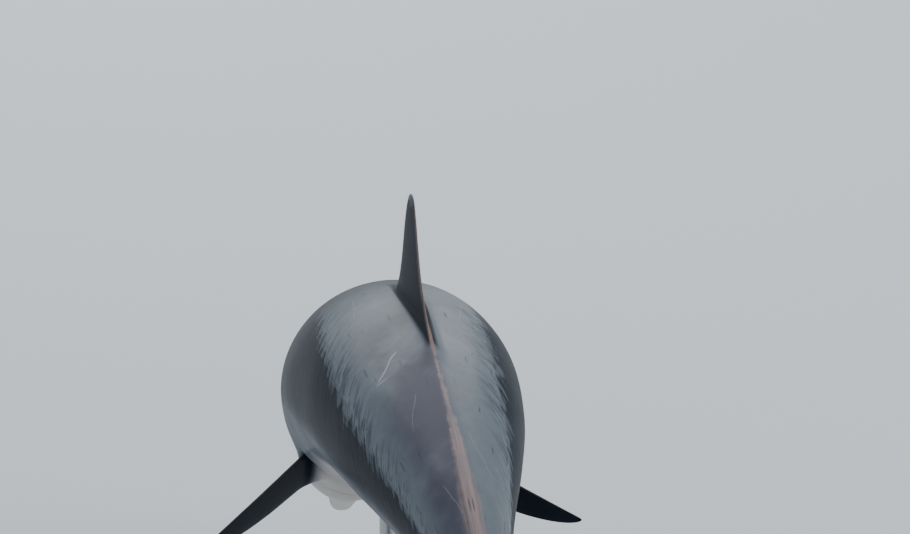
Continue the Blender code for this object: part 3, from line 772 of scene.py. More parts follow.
# The border of the painted sheen: the climb at which the reflection of the bright light ahead would end on
# each side, lower on the left than on the right.
SHEEN_BORDERS = smooth((
    (0.80, 62, 62), (1.05, 50, 52), (1.28, 44, 50), (1.48, 35, 49), (1.64, 28, 47), (1.75, 23, 45),
    (1.87, 18, 42), (2.06, 15, 34), (2.30, 12, 24), (2.60, 20, 26),
))  # station, climb of the saddle's border on the left and on the right
BELLY_BLEND, CAPE_BLEND = (-22, 14), (-10, 10)  # degrees round each border over which it changes
FIN_ABOVE, FIN_BELOW, LOOKS_DOWN = 1.0, 0.62, -0.3  # shades of the fins, and the slope that parts them
attributes = skin.data.attributes
attributes.new("shade", "FLOAT", "POINT")
attributes.new("in_sheen", "FLOAT", "POINT")
station_of, climb_of, fin_of, shade_of, sheen_of = (
    attributes[name].data for name in ("station", "climb", "fin", "shade", "in_sheen"))
for corner in skin.data.vertices:
    i = corner.index
    belly_line, cape_line = BORDERS(station_of[i].value)
    climb = climb_of[i].value
    body_shade = 0.5 * ease(*BELLY_BLEND, climb - belly_line) + 0.5 * ease(*CAPE_BLEND, climb - cape_line)
    fin_shade = FIN_ABOVE if corner.normal.z > LOOKS_DOWN else FIN_BELOW
    shade_of[i].value = body_shade + (fin_shade - body_shade) * min(fin_of[i].value, 1.0)
    sheen_of[i].value = climb - SHEEN_BORDERS(station_of[i].value)[0 if corner.co.y > 0 else 1]
print("mean shade:", round(sum(s.value for s in shade_of) / len(shade_of), 2))

# %% [markdown]
# ## Colours and nodes
#
# Four helpers serve every material. One turns an sRGB hex colour into the linear numbers that
# shaders want. One fills a node's inputs, where a value may be a number, a colour, or another node,
# whose first output is then linked. One adds any node, with its settings and its inputs, and one
# starts a material.

# %% Helpers for materials
def linear(code):
    """Linear RGBA of an sRGB hex colour."""
    channels = [int(code[k:k + 2], 16) / 255 for k in (1, 3, 5)]
    return (*[c / 12.92 if c <= 0.04045 else ((c + 0.055) / 1.055) ** 2.4 for c in channels], 1.0)


def fill(tree, node, inputs):
    """Sets the inputs of a node, or links them to other nodes."""
    for name, value in inputs.items():
        if isinstance(value, bpy.types.Node):
            value = next(output for output in value.outputs if output.enabled)
        if isinstance(value, bpy.types.NodeSocket):
            tree.links.new(value, node.inputs[name])
        else:
            node.inputs[name].default_value = value


def add(tree, kind, inputs=None, ramp=None, **settings):
    """Adds a node to a tree, sets it, and fills or links its inputs."""
    node = tree.nodes.new("ShaderNode" + kind)
    for name, value in settings.items():
        setattr(node, name, value)
    for stop, (place, code) in enumerate(ramp or ()):
        elements = node.color_ramp.elements
        if stop == 0:
            elements.remove(elements[1])
        element = elements.new(place) if stop else elements[0]
        element.position, element.color = place, linear(code)
    fill(tree, node, inputs or {})
    return node


def new_material(name, **sockets):
    """A new material, with its node tree and its shader. Sockets give the shader's own numbers."""
    made = bpy.data.materials.new(name)
    made.use_nodes = True
    shader = made.node_tree.nodes["Principled BSDF"]
    fill(made.node_tree, shader, {socket.replace("_", " "): value for socket, value in sockets.items()})
    return made, made.node_tree, shader


# %% [markdown]
# ## Wet dolphin skin
#
# Dolphin skin is bare, smooth and a little rubbery, like a wet inner tube. What the eye sees is
# a slate colour with soft mottling, the pale sheen painted over the back, and then the marks of a
# life: purplish skin left of the ridge, painted darker as shade, warm, pinkish skin along the ridge
# of the tail stock, a rubbed brownish rear edge of the fin that is partly a painted highlight,
# scratches and small dark flecks. Over it lies a thin film of water, which adds gloss to the
# painted sheen and runs off the sides in fine streaks. The colour is layered in that order, each
# mark over the last. It all reads the chart's own numbers or Object coordinates, so that no pattern
# has a seam. Water has an IOR of 1.33, which goes to the coat; the film is thin and broken, so the
# coat has little weight. Skin under water mirrors little of its own, so the IOR of the base is low.

# %% Coordinates of the skin, and its mottled ground colour
dolphin_skin, tree, shader = new_material(
    "wet_dolphin_skin", IOR=1.20, Coat_Weight=0.12, Coat_Roughness=0.18, Coat_IOR=1.33)
place = add(tree, "TexCoord").outputs["Object"]
leftward = add(tree, "SeparateXYZ", {0: place}).outputs["Y"]
station, climb, fin, fin_rim, tipward, shade, in_sheen, lining = (
    add(tree, "Attribute", attribute_name=name).outputs["Fac"]
    for name in ("station", "climb", "fin", "fin_rim", "tipward", "shade", "in_sheen", "lining"))
MOTTLE, GRAIN = 0.29, 0.031  # metres from patch to patch, and from speck to speck
MOTTLE_DEPTH, GRAIN_DEPTH = 0.34, 0.16  # how much of the shade they take up
broad = add(tree, "TexNoise", {"Vector": place, "Scale": 1 / MOTTLE, "Detail": 4.0, "Roughness": 0.6})
fine = add(tree, "TexNoise", {"Vector": place, "Scale": 1 / GRAIN, "Detail": 5.0, "Roughness": 0.65})
wander, speckle = (
    add(tree, "Math", {0: noise, 1: 0.5}, operation="SUBTRACT") for noise in (broad, fine))
moved = add(tree, "Math", {0: wander, 1: MOTTLE_DEPTH, 2: shade}, operation="MULTIPLY_ADD")
mottled = add(tree, "Math", {0: speckle, 1: GRAIN_DEPTH, 2: moved}, operation="MULTIPLY_ADD")
# The darkest, bluest stops at the cape end are partly painted shade, darker than the animal's own slate
# grey.
ground = add(tree, "ValToRGB", {"Fac": mottled}, ramp=(
    (0.02, "#cdc6c2"), (0.20, "#aeabad"), (0.40, "#717680"), (0.62, "#434955"), (0.82, "#29303b"),
    (1.00, "#1b212c")))  # from the belly to the cape
print("skin: patches", 1000 * MOTTLE, "mm and specks", 1000 * GRAIN, "mm apart")

# %% [markdown]
# Every mark is laid over the last one through a mask, which is 1 where the mark is and 0 where it
# isn't. Most masks are made of limits. A limit is a value with two numbers: the mask rises smoothly
# from 0 at the first number to 1 at the second, or falls if the first is the higher. So
# (station, 2.66, 2.35) means: all of it up to station 2.35, none past 2.66.


# %% Masks, and laying one colour over another
def mask(*parts):
    """The product of its parts: numbers, values, and limits (value, low, high)."""
    product = None
    for part in parts:
        if isinstance(part, tuple):
            value, low, high = part
            part = add(tree, "MapRange", {"Value": value, "From Min": low, "From Max": high},
                       interpolation_type="SMOOTHSTEP")
        if product is not None:
            part = add(tree, "Math", {0: product, 1: part}, operation="MULTIPLY")
        product = part
    return product


def mark(colour, code, *parts):
    """Lays a colour over another, as far as the mask of the parts says."""
    return add(tree, "Mix", {0: mask(*parts), 6: colour, 7: linear(code)}, data_type="RGBA").outputs[2]


# %% [markdown]
# The patterns that run along the body use the chart as their plane: the station in one direction,
# the climb in the other. Stretching a noise there is what turns spots into streaks: long ones that
# follow the body, and fine drips that run down its sides and a little back. Both fray the border of
# the painted pale sheen, and the drips hatch it with dark lines for a hand's width: painted
# reflection of ripples in the water film, which break the sheen up at its edge. Real drips are a few
# millimetres wide; they are drawn at 13 mm so that they can be seen.
#
# A noise lies between 0 and 1, and 0.5 is taken off before it moves a border, so that it moves it
# both ways. A fray is the whole width that a border may wander over, with half of it to each side.

# %% Streaks along the body, and drips down its sides
STREAK_LENGTH, STREAK_WIDTH = 0.170, 2.0  # metres along the body, degrees of climb across it
DRIP_WIDTH, DRIP_LENGTH, DRIP_SLANT = 0.013, 16.0, 0.0027  # metres, degrees of climb, metres a degree
STREAK_CHANGE, DRIP_CHANGE = 6.0, 3.0  # how much they change from left to right, so the sides differ
chart = add(tree, "CombineXYZ", {"X": station, "Y": climb, "Z": leftward})
slanted = add(tree, "Math", {0: climb, 1: DRIP_SLANT, 2: station}, operation="MULTIPLY_ADD")
slanted_chart = add(tree, "CombineXYZ", {"X": slanted, "Y": climb, "Z": leftward})
streak_place = add(tree, "Mapping", {
    "Vector": chart, "Scale": (1 / STREAK_LENGTH, 1 / STREAK_WIDTH, STREAK_CHANGE)})
drip_place = add(tree, "Mapping", {
    "Vector": slanted_chart, "Scale": (1 / DRIP_WIDTH, 1 / DRIP_LENGTH, DRIP_CHANGE)})
streaks = add(tree, "TexNoise", {
    "Vector": streak_place, "Scale": 1.0, "Detail": 5.0, "Roughness": 0.6, "Distortion": 0.4})
drips = add(tree, "TexNoise", {
    "Vector": drip_place, "Scale": 1.0, "Detail": 4.0, "Roughness": 0.65, "Distortion": 0.3})
print("streaks:", 1000 * STREAK_LENGTH, "mm long; drips:", 1000 * DRIP_WIDTH, "mm wide")

# %% The pale sheen, painted on the back
SHEEN_START, SHEEN_END = (1.18, 1.55), (2.65, 2.30)  # stations over which it comes and goes
STREAK_FRAY = 9.0  # degrees of climb over which streaks move its border
DRIP_FRAY = {"From Min": 1.10, "From Max": 1.50, "To Min": 12.0, "To Max": 34.0}  # stations, degrees
HATCH_DEPTH = 30.0  # degrees inside the border that the dark hatching reaches
body_only = mask((fin, 0.9, 0.3))
streak_height, drip_height = (
    add(tree, "Math", {0: noise, 1: 0.5}, operation="SUBTRACT") for noise in (streaks, drips))
drip_fray = add(tree, "MapRange", {"Value": station, **DRIP_FRAY})
waved = add(tree, "Math", {0: streak_height, 1: STREAK_FRAY, 2: in_sheen}, operation="MULTIPLY_ADD")
frayed = add(tree, "Math", {0: drip_height, 1: drip_fray, 2: waved}, operation="MULTIPLY_ADD")
painted_sheen = mask((frayed, -4.0, 4.0), (station, *SHEEN_START), (station, *SHEEN_END), body_only)
# Painted sheen: the crown is painted paler, standing in for the wet back's reflection of the bright light
# ahead.
colour = mark(ground, "#818b94", painted_sheen, (mottled, 1.60, 0.60))
# Painted reflection: dark lines inside the border of the painted sheen, where ripples in the water film
# would mirror the darker room.
painted_ripple_lines = mask((in_sheen, HATCH_DEPTH, 4.0), (drips, 0.47, 0.59), painted_sheen)
colour = mark(colour, "#363d4a", painted_ripple_lines, 0.75)
print("the saddle runs from station", SHEEN_START[0], "to", SHEEN_END[0])

# %% [markdown]
# Behind the fin the skin is warmer and purplish, laid only left of the middle as painted shade on
# the side turned from the light, and worn pale along the ridge itself. The worn ridge is frayed as
# well, and widens towards the tail.

# %% Warm skin, painted darker left of the middle as shade, and the worn ridge behind the fin
RIDGE_FRONT, RIDGE_REAR = 0.004, 0.024  # half the ridge's width behind the fin, and near the flukes
RIDGE_FRAY = 0.020  # metres over which specks move its edge
behind_fin = mask((station, 1.50, 1.80))
# Painted shade: the purplish tone darkens the crown left of the middle, the side away from the light.
warm_left_shade = mask((climb, 30.0, 66.0), (station, 2.62, 2.30), (leftward, -0.030, 0.015))
colour = mark(colour, "#494858", behind_fin, warm_left_shade, (broad, 0.28, 0.56), body_only, 0.9)
off_middle = add(tree, "Math", {0: leftward}, operation="ABSOLUTE")
frayed_middle = add(tree, "Math", {0: speckle, 1: RIDGE_FRAY, 2: off_middle}, operation="MULTIPLY_ADD")
ridge_width = add(tree, "Math", {
    0: mask((station, 1.90, 2.40)), 1: RIDGE_REAR - RIDGE_FRONT, 2: RIDGE_FRONT}, operation="MULTIPLY_ADD")
share_of_ridge = add(tree, "Math", {0: frayed_middle, 1: ridge_width}, operation="DIVIDE")
ridge = mask((share_of_ridge, 1.3, 0.4), (station, 1.74, 1.85), (station, 2.66, 2.35),
             (climb, 50.0, 70.0), (tipward, 0.05, 0.01))
worn_lines = add(tree, "MapRange", {"Value": streaks, "From Min": 0.35, "From Max": 0.60, "To Min": 0.35})
colour = mark(colour, "#91807f", ridge, worn_lines)
print("the ridge is", 2000 * RIDGE_FRONT, "mm wide at the fin,", 2000 * RIDGE_REAR, "mm near the tail")

# %% Dark fins, partly painted shade, with a rubbed rear edge, partly a painted highlight
THIN_FOOT = (0.0060, 0.0015)  # metres off the middle: the edge runs on down the fin's foot as a line
# The fins are dark in life; this near-black navy is partly painted shade, the dark that the fins would
# mirror.
colour = mark(colour, "#101827", (fin, 0.35, 1.0), (tipward, 0.015, 0.075), 0.95)
# A paler tip on the dorsal fin: partly wear, partly a painted highlight where the tip catches the light.
worn_and_lit_tip = mask((tipward, 0.86, 0.97), (off_middle, 0.10, 0.05))
colour = mark(colour, "#737883", worn_and_lit_tip, (fine, 0.35, 0.6), 0.75)
# The tan rear edge of the dorsal fin, and its line down the fin's foot, are partly rubbed skin and partly a
# painted highlight along the lit edge; on the flippers and flukes it is faint wear.
rubbed_and_lit_edge = add(tree, "Math", {0: mask((tipward, 0.10, 0.30)), 1: mask((off_middle, *THIN_FOOT))},
             operation="MAXIMUM")
colour = mark(colour, "#86726a", fin_rim, rubbed_and_lit_edge, (fine, 0.26, 0.46))

# %% [markdown]
# Scratches come from other dolphins' teeth and heal as pale lines. Each one here is a straight line
# on the chart, from one place to another, that is bent a little by noise. Its distance from any
# point is worked out with dot products: one along the line, which says where the line ends, and one
# square to it, which says how far off the point lies. A few long rakes cross the back, and two of
# them meet in a V left of the ridge.

# %% Scratches
SCRATCHES = (
    (1.790, 0.071, 1.870, 0.131, 2.6, 0.85), (1.870, 0.131, 1.860, 0.095, 2.6, 0.75),
    (1.420, 0.110, 1.560, 0.128, 1.6, 0.20), (1.960, 0.060, 2.070, 0.082, 1.6, 0.22),
    (1.500, -0.120, 1.660, -0.096, 1.6, 0.22), (1.760, -0.060, 1.860, -0.128, 1.6, 0.22),
    (1.120, 0.140, 1.290, 0.098, 1.6, 0.20), (0.860, -0.130, 1.040, -0.168, 1.6, 0.20),
    (0.875, -0.105, 1.050, -0.142, 1.6, 0.18), (2.100, -0.030, 2.230, -0.062, 1.6, 0.22),
    (0.560, 0.120, 0.660, 0.150, 1.6, 0.18), (2.240, 0.045, 2.350, 0.020, 1.6, 0.22),
)  # from station and left of the middle, to station and left, width in mm, how pale
BEND_LENGTH, BEND_SIZE = 1 / 11, (0.020, 0.020, 0.0)  # metres from bend to bend, and over which they swing
TAPER_IN, TAPER_OUT, PAST_END = 0.012, 0.030, 0.004  # metres over which a scratch comes and goes
bends = add(tree, "TexNoise", {"Vector": place, "Scale": 1 / BEND_LENGTH, "Detail": 1.5})
bend = add(tree, "VectorMath", {0: bends.outputs["Color"], 1: (0.5, 0.5, 0.5)}, operation="SUBTRACT")
seen_from_above = add(tree, "CombineXYZ", {"X": station, "Y": leftward})
bent = add(tree, "VectorMath", {0: bend, 1: BEND_SIZE, 2: seen_from_above}, operation="MULTIPLY_ADD")
on_back = mask((climb, 22.0, 30.0), body_only)
for from_station, from_left, to_station, to_left, width, paleness in SCRATCHES:
    start = Vector((from_station, from_left, 0))
    line = Vector((to_station, to_left, 0)) - start
    along_line = line.normalized()
    square = Vector((-along_line.y, along_line.x, 0))
    off_start = add(tree, "VectorMath", {0: bent, 1: start}, operation="SUBTRACT")
    run, off_line = (
        add(tree, "VectorMath", {0: off_start, 1: axis}, operation="DOT_PRODUCT").outputs["Value"]
        for axis in (along_line, square))
    beside = add(tree, "Math", {0: off_line}, operation="ABSOLUTE")
    ends = mask((run, -PAST_END, TAPER_IN), (run, line.length + PAST_END, line.length - TAPER_OUT))
    colour = mark(colour, "#a9abad", (beside, width / 1000, width / 4000), ends, on_back, paleness)
print(len(SCRATCHES), "scratches")

# %% Flecks, the dark patch round each eye, and the linings
FLECK_LENGTH, FLECK_WIDTH = 0.10, 0.022 / 0.0045  # metres along the body, degrees of climb for 22 mm
FLECK_FRAY = 0.5  # depth in the pattern, in cells, over which specks move it: that frays each fleck
DEGREE_AT_EYE = 0.0034  # metres of skin to a degree of climb beside the eye
PATCH_START, PATCH_EDGE = 0.017, 0.038  # metres from the middle of the eye
PATCH_FRAY = 0.010  # metres over which specks move its edge
fleck_chart = add(tree, "CombineXYZ", {"X": station, "Y": climb, "Z": speckle})
fleck_place = add(tree, "Mapping", {
    "Vector": fleck_chart, "Scale": (1 / FLECK_LENGTH, 1 / FLECK_WIDTH, FLECK_FRAY)})
cells = add(tree, "TexVoronoi", {"Vector": fleck_place, "Scale": 1.0, "Randomness": 1.0})
chosen = add(tree, "SeparateColor", {0: cells.outputs["Color"]}).outputs["Red"]
mostly_right = add(tree, "MapRange", {
    "Value": leftward, "From Min": 0.06, "From Max": -0.05, "To Min": 0.55})
flecks = mask((cells.outputs["Distance"], 0.24, 0.12), (chosen, 0.50, 0.40), mostly_right,
              (shade, 0.62, 0.85), (station, 0.5, 0.9), body_only)
colour = mark(colour, "#2b2d35", flecks, 0.75)
from_eye = add(tree, "VectorMath", {0: chart, 1: (EYE_STATION, EYE_CLIMB, 0)}, operation="SUBTRACT")
in_metres = add(tree, "VectorMath", {0: from_eye, 1: (1, DEGREE_AT_EYE, 0)}, operation="MULTIPLY")
eye_distance = add(tree, "VectorMath", {0: in_metres}, operation="LENGTH").outputs["Value"]
eye_patch = add(tree, "Math", {0: speckle, 1: PATCH_FRAY, 2: eye_distance}, operation="MULTIPLY_ADD")
colour = mark(colour, "#2b303a", (eye_patch, PATCH_EDGE, PATCH_START), 0.75)
colour = mark(colour, "#17181c", lining)

# %% [markdown]
# The water film is the last layer. It is smooth over the crown and gathers into runnels on the
# flanks, so the bump of the drips fades out towards the crown, the head and the fins. Where it
# stands on the back the skin is glossier, and where it has drained off the skin is nearly matt.

# %% The water film
BUMP_HEIGHT, GRAIN_SHARE = 0.0036, 0.12  # metres, and how much of it is the grain of the skin
ROUGHNESS = {"To Min": 0.54, "To Max": 0.64}  # of the drained skin
# WETTER is added where the pale sheen is painted on the back, DRIER on the fins.
WETTER, DRIER = -0.24, 0.15  # what the saddle and the fins add to it
gathered = add(tree, "MapRange", {"Value": climb, "From Min": 84.0, "From Max": 48.0, "To Min": 0.45})
runnels = mask(drips, gathered, (station, 0.45, 0.95), body_only)
relief = add(tree, "Math", {0: fine, 1: GRAIN_SHARE, 2: runnels}, operation="MULTIPLY_ADD")
ripples = add(tree, "Bump", {"Height": relief, "Strength": 0.42, "Distance": BUMP_HEIGHT})
patchy_gloss = add(tree, "MapRange", {"Value": broad, "From Min": 0.3, "From Max": 0.7, **ROUGHNESS})
wetter = add(tree, "Math", {0: painted_sheen, 1: WETTER, 2: patchy_gloss}, operation="MULTIPLY_ADD")
gloss = add(tree, "Math", {0: mask((fin, 0.2, 1.0)), 1: DRIER, 2: wetter}, operation="MULTIPLY_ADD")
fill(tree, shader, {"Base Color": colour, "Roughness": gloss, "Normal": ripples, "Coat Normal": ripples})
skin.data.materials.append(dolphin_skin)

# %% [markdown]
# ## The eyes
#
# A dolphin's eye is nearly black at a glance, but close up it has a dark brown iris and a pupil that
# is wider than it is tall. Each eyeball is a sphere turned so that its pole looks outwards. Then its
# own UV map holds polar coordinates: V falls from 1 at the middle of the eye, and U goes round it.
# The surface is wet, so it is nearly a mirror.

# %% Surface of the eyeballs
PUPIL_HIGH, PUPIL_WIDE, IRIS_EDGE = 11.0, 19.0, 40.0  # degrees from the pole
FIBRES, FIBRE_CHANGE = 64, 0.12  # fibres round the iris, and how much they change in a degree outwards
eye_surface, tree, eye_shader = new_material("wet_eyeball", Roughness=0.04, IOR=1.38)
eye_uv = add(tree, "UVMap")
polar = add(tree, "SeparateXYZ", {0: add(tree, "Mapping", {
    "Vector": eye_uv, "Location": (0, 180, 0), "Scale": (2 * math.pi, -180, 1)})})  # radians, degrees
off_pole = polar.outputs["Y"]
turn = add(tree, "Math", {0: polar.outputs["X"]}, operation="COSINE")
spoke = add(tree, "Mapping", {
    "Vector": eye_uv, "Location": (0, 180 * FIBRE_CHANGE, 0), "Scale": (FIBRES, -180 * FIBRE_CHANGE, 1)})
fibres = add(tree, "TexNoise", {"Vector": spoke, "Scale": 1.0, "Detail": 3.0})
sideways = add(tree, "Math", {0: turn}, operation="ABSOLUTE")
pupil_edge = add(tree, "Math", {
    0: sideways, 1: PUPIL_WIDE - PUPIL_HIGH, 2: PUPIL_HIGH}, operation="MULTIPLY_ADD")
past_pupil = add(tree, "Math", {0: off_pole, 1: pupil_edge}, operation="SUBTRACT")
iris = add(tree, "ValToRGB", {"Fac": fibres}, ramp=((0.30, "#1c110b"), (0.70, "#3b2617")))
eye_colour = mark(iris, "#050507", (past_pupil, 2.5, -1.0))
eye_colour = mark(eye_colour, "#120d0c", (off_pole, IRIS_EDGE - 5, IRIS_EDGE + 2))
fill(tree, eye_shader, {"Base Color": eye_colour})

# %% Eyeballs
for name, side in (("eye_left", 1), ("eye_right", -1)):
    centre, radius, outward, _, _ = eye_axes(side)
    ball = new_piece(
        bpy.ops.mesh.primitive_uv_sphere_add, name.replace("eye", "eyeball"), segments=48, ring_count=24,
        radius=radius, location=centre, rotation=outward.to_track_quat("Z", "Y").to_euler())
    bpy.ops.object.shade_smooth()
    ball.data.materials.append(eye_surface)
    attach(ball, "root")
    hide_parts(name)
print("eyeballs:", round(2000 * radius), "mm across")

# %% [markdown]
# ## The stand
#
# The board, flanges and rods are the solids of the frame, and only get their finishes. The board is
# fibreboard under satin paint from a roller, which leaves a skin like orange peel. The rods and
# flanges are stainless steel brushed on a lathe, so the lines run round them. Real brush lines are
# about 0.3 mm apart; they are drawn at 2 mm so that they can be seen.

# %% Satin paint
CLOUDS, PEEL = 0.2, 0.005  # metres from patch to patch of the paint, and from dimple to dimple
board_paint, tree, board_shader = new_material("satin_paint_on_board", Roughness=0.42, IOR=1.47)
board_place = add(tree, "TexCoord").outputs["Object"]
clouds = add(tree, "TexNoise", {"Vector": board_place, "Scale": 1 / CLOUDS, "Detail": 3.0})
peel = add(tree, "TexNoise", {"Vector": board_place, "Scale": 1 / PEEL, "Detail": 2.0})
paint = add(tree, "ValToRGB", {"Fac": clouds}, ramp=((0.30, "#3e4144"), (0.70, "#4a4d50")))
orange_peel = add(tree, "Bump", {"Height": peel, "Strength": 0.25, "Distance": 0.0006})
fill(tree, board_shader, {"Base Color": paint, "Normal": orange_peel})

# %% Brushed steel
BRUSH_LINES, BRUSH_RUN = 0.002, 1 / 12  # metres from line to line, and that a line runs
brushed_steel, tree, steel_shader = new_material("brushed_stainless_steel", Metallic=1.0)
steel_place = add(tree, "TexCoord").outputs["Object"]
rings = add(tree, "Mapping", {
    "Vector": steel_place, "Scale": (1 / BRUSH_RUN, 1 / BRUSH_RUN, 1 / BRUSH_LINES)})
lines = add(tree, "TexNoise", {"Vector": rings, "Scale": 1.0, "Detail": 3.0, "Roughness": 0.7})
tint = add(tree, "ValToRGB", {"Fac": lines}, ramp=((0.25, "#a2a2a4"), (0.75, "#c6c6c7")))
steel_gloss = add(tree, "MapRange", {"Value": lines, "To Min": 0.22, "To Max": 0.42})
scoring = add(tree, "Bump", {"Height": lines, "Strength": 0.20, "Distance": 0.0003})
fill(tree, steel_shader, {"Base Color": tint, "Roughness": steel_gloss, "Normal": scoring})

for name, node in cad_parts.items():
    if name.startswith("stand_"):
        node.data.materials.clear()
        node.data.materials.append(board_paint if name == "stand_base" else brushed_steel)
        print(name, "is finished")

# %% [markdown]
# Each flange is held down by four socket screws. A screw's head is a short cylinder with an eased
# rim and a six-sided socket. The socket starts as an inset of the round top, whose corners are then
# pulled onto a hexagon. One screw is modelled, and its mesh is copied to the other places.

# %% One socket screw
SCREW_RADIUS, SCREW_HEIGHT, SOCKET_FLAT, SOCKET_DEPTH = 0.0065, 0.0050, 0.0030, 0.0032
SCREW_CIRCLE = 0.045  # radius, from the middle of the rod
RIM_BEVEL, RIM_WIDTH = 0.0009, 0.0022
SCREW_TURN, NEXT_TURN = 0.4, 1.7  # radians: no two screws of a flange end up at the same angle
screw = new_piece(
    bpy.ops.mesh.primitive_cylinder_add, "screw", vertices=24, radius=SCREW_RADIUS,
    depth=SCREW_HEIGHT, location=(0, 0, SCREW_HEIGHT / 2))
bpy.ops.object.mode_set(mode="EDIT")
bpy.ops.mesh.select_mode(type="FACE")


def select_top(height):
    """Selects the faces that lie at a height and look up."""
    bpy.ops.mesh.select_all(action="DESELECT")
    mesh = bmesh.from_edit_mesh(screw.data)
    for face in mesh.faces:
        face.select_set(abs(face.calc_center_median().z - height) < 1e-5 and face.normal.z > 0.9)
    bmesh.update_edit_mesh(screw.data)


select_top(SCREW_HEIGHT)
bpy.ops.mesh.bevel(offset=RIM_BEVEL, segments=2)
select_top(SCREW_HEIGHT)
bpy.ops.mesh.inset(thickness=RIM_WIDTH)
mesh = bmesh.from_edit_mesh(screw.data)
for corner in mesh.verts:
    if corner.select:
        angle = math.atan2(corner.co.y, corner.co.x) % (math.pi / 3) - math.pi / 6
        corner.co.xy = corner.co.xy.normalized() * (SOCKET_FLAT / math.cos(angle))
bmesh.update_edit_mesh(screw.data)
bpy.ops.mesh.extrude_region_move(TRANSFORM_OT_translate={"value": (0, 0, -SOCKET_DEPTH)})
bpy.ops.object.mode_set(mode="OBJECT")
bpy.ops.object.shade_smooth_by_angle(angle=math.radians(35))
screw.data.materials.append(brushed_steel)
print("screw:", len(screw.data.polygons), "faces")

# %% Four screws to a flange
screw_mesh = screw.data
bpy.data.objects.remove(screw)
for where in ("front", "rear"):
    low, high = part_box("stand_flange_" + where)
    for k in range(4):
        turn_round = math.radians(45 + 90 * k)
        seat = Vector(((low.x + high.x) / 2, (low.y + high.y) / 2, high.z))
        seat += Vector((math.cos(turn_round), math.sin(turn_round), 0)) * SCREW_CIRCLE
        head = screw_mesh.copy()
        head.transform(Matrix.Translation(seat) @ Matrix.Rotation(SCREW_TURN + NEXT_TURN * k, 4, "Z"))
        placed = bpy.data.objects.new(f"stand_screw_{where}_{k + 1}", head)
        bpy.context.collection.objects.link(placed)
        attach(placed, "root")
print("screw heads:", 2000 * SCREW_RADIUS, "mm across")

# %% [markdown]
# Where a rod enters the belly, a soft rubber collar hides the joint. It is a tube that is extruded
# loop by loop: up the rod, out in a flare, and onto the skin. The height of the skin over each
# corner is found by casting a ray straight up at it, because the belly slopes and curves there.
# Moulded rubber is nearly black and matt, with a fine grain and a faint paler bloom.

# %% Moulded rubber
RUBBER_GRAIN, RUBBER_BLOOM = 0.002, 0.02  # metres from bump to bump, and from patch to patch
rubber, tree, rubber_shader = new_material("moulded_rubber", Roughness=0.6, IOR=1.5)
rubber_place = add(tree, "TexCoord").outputs["Object"]
grain = add(tree, "TexNoise", {"Vector": rubber_place, "Scale": 1 / RUBBER_GRAIN, "Detail": 3.0})
bloom = add(tree, "TexNoise", {"Vector": rubber_place, "Scale": 1 / RUBBER_BLOOM, "Detail": 3.0})
black = add(tree, "ValToRGB", {"Fac": bloom}, ramp=((0.3, "#1b1c1e"), (0.7, "#2a2b2e")))
matt = add(tree, "Bump", {"Height": grain, "Strength": 0.3, "Distance": 0.0003})
fill(tree, rubber_shader, {"Base Color": black, "Normal": matt})

# %% Collars round the rods
COLLAR_LOOPS = (
    (0.0212, 0.024, 1), (0.0243, 0.024, 1), (0.0252, 0.022, 1), (0.0254, 0.012, 1), (0.0268, 0.0065, 0),
    (0.0300, 0.0028, 0), (0.0335, 0.0010, 0), (0.0345, -0.0015, 0), (0.0212, -0.0040, 0),
)  # radius, drop below the skin, and whether the loop is level
bpy.context.view_layer.update()
for where in ("front", "rear"):
    low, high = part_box("stand_rod_" + where)
    axis = (low + high) / 2

    def skin_over(x, y):
        """Height of the skin straight over a place on the floor."""
        hit, found, _, _ = skin.ray_cast(Vector((x, y, low.z)), Vector((0, 0, 1)))
        return found.z if hit else high.z

    collar = new_piece(
        bpy.ops.mesh.primitive_circle_add, "stand_collar_" + where, vertices=48,
        radius=COLLAR_LOOPS[0][0], fill_type="NOTHING", location=(axis.x, axis.y, high.z))
    edit_all()
    for loop, (radius, drop, is_level) in enumerate(COLLAR_LOOPS):
        if loop:
            bpy.ops.mesh.extrude_region_move()
        tube = bmesh.from_edit_mesh(collar.data)
        ring = [corner for corner in tube.verts if corner.select]
        for corner in ring:
            spoke_out = Vector((corner.co.x - axis.x, corner.co.y - axis.y, 0)).normalized() * radius
            corner.co = Vector((axis.x, axis.y, 0)) + spoke_out
            corner.co.z = skin_over(corner.co.x, corner.co.y) - drop
        lowest = min(corner.co.z for corner in ring)
        for corner in ring:
            if is_level:
                corner.co.z = lowest
        bmesh.update_edit_mesh(collar.data)
    bpy.ops.mesh.select_all(action="DESELECT")
    bpy.ops.mesh.select_non_manifold()
    bpy.ops.mesh.bridge_edge_loops()
    point_outwards()
    bpy.ops.object.mode_set(mode="OBJECT")
    bpy.ops.object.shade_smooth_by_angle(angle=math.radians(50))
    collar.data.materials.append(rubber)
    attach(collar, "root")
    print(collar.name, "is", round(1000 * COLLAR_LOOPS[0][1]), "mm tall at its shortest")

# %% [markdown]
# ## Floor, light and camera
#
# The studio is a plain pale floor under one very large softbox ahead of the animal, like a bright
# overcast sky. Seen from behind, wet skin that faces up mirrors it as a broad pale sheen, while the
# flanks mirror the dimmer room. A smaller softbox on the right and a weak one on the left round the
# form, and a faint broad light straight from above, like a white ceiling, keeps the floor pale as
# far as the horizon. The camera looks down on the arched back from behind, as from the bow of a boat.

# %% The floor and the room
floor = new_piece(bpy.ops.mesh.primitive_plane_add, "floor", size=160)
floor_paint, _, _ = new_material("floor_paint", Roughness=0.85, Base_Color=linear("#c6ccd1"))
floor.data.materials.append(floor_paint)
world = bpy.data.worlds.new("studio")
bpy.context.scene.world = world
world.use_nodes = True
tree = world.node_tree
fill(tree, tree.nodes["Background"], {"Color": linear("#c9d3dc"), "Strength": 0.42})


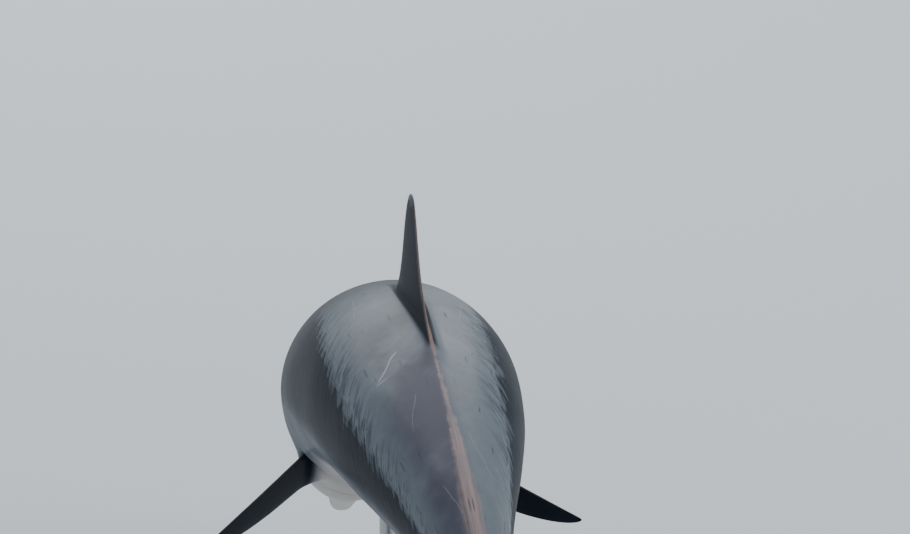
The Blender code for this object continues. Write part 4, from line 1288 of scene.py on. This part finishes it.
# %% Softboxes
def softbox(name, place, target, width, height, power, tint="#ffffff"):
    """A lamp of a size in metres and a power in watts, turned to its target."""
    bpy.ops.object.light_add(type="AREA", location=place)
    lamp = bpy.context.object
    lamp.name = name
    lamp.data.shape = "RECTANGLE"
    lamp.data.size, lamp.data.size_y = width, height
    lamp.data.energy = power
    lamp.data.color = linear(tint)[:3]
    lamp.visible_camera = False
    lamp.rotation_euler = (Vector(target) - Vector(place)).to_track_quat("-Z", "Y").to_euler()
    print(name, width, "by", height, "m")


softbox("sky_ahead", (6.7, 0.0, 7.2), (0, 0, 1), 12.0, 12.0, 1100, "#f4f6f4")
softbox("key_right", (-2.0, -6.0, 4.5), (0, 0, 1), 3.5, 3.0, 220)
softbox("fill_left", (0.0, 7.0, 3.0), (0, 0, 0.8), 4.0, 3.0, 40, "#dfe8f4")

deselect_all()
bpy.ops.object.light_add(type="SUN", location=(0, 0, 8))
ceiling = bpy.context.object
ceiling.name = "ceiling"
ceiling.data.energy = 0.8
ceiling.data.angle = math.radians(70)
print("ceiling:", ceiling.data.energy, "W over each square metre of floor")

# %% Camera
VIEW_AZIMUTH, VIEW_CLIMB, VIEW_DISTANCE = math.radians(260.6), math.radians(21.4), 9.05
AIM_SHARE, AIM_RIGHT, AIM_ABOVE = 0.57, 0.082, 0.106  # of the length; metres off the crown there
sight = Vector((
    math.sin(VIEW_AZIMUTH) * math.cos(VIEW_CLIMB),
    -math.cos(VIEW_AZIMUTH) * math.cos(VIEW_CLIMB),
    math.sin(VIEW_CLIMB),
))
right = Vector((math.cos(VIEW_AZIMUTH), math.sin(VIEW_AZIMUTH), 0))
above = sight.cross(right)
aim_station = AIM_SHARE * BODY_LENGTH
hump, _, hump_upward = spine(aim_station)
aim = hump + hump_upward * skin_radius(aim_station, 90) + right * AIM_RIGHT + above * AIM_ABOVE
bpy.ops.object.camera_add(
    location=aim + sight * VIEW_DISTANCE, rotation=sight.to_track_quat("Z", "Y").to_euler())
camera = bpy.context.object
camera.data.lens = 160
camera.data.clip_end = 500
bpy.context.scene.camera = camera
print("the camera stands", round(camera.location.z, 2), "m over the floor")
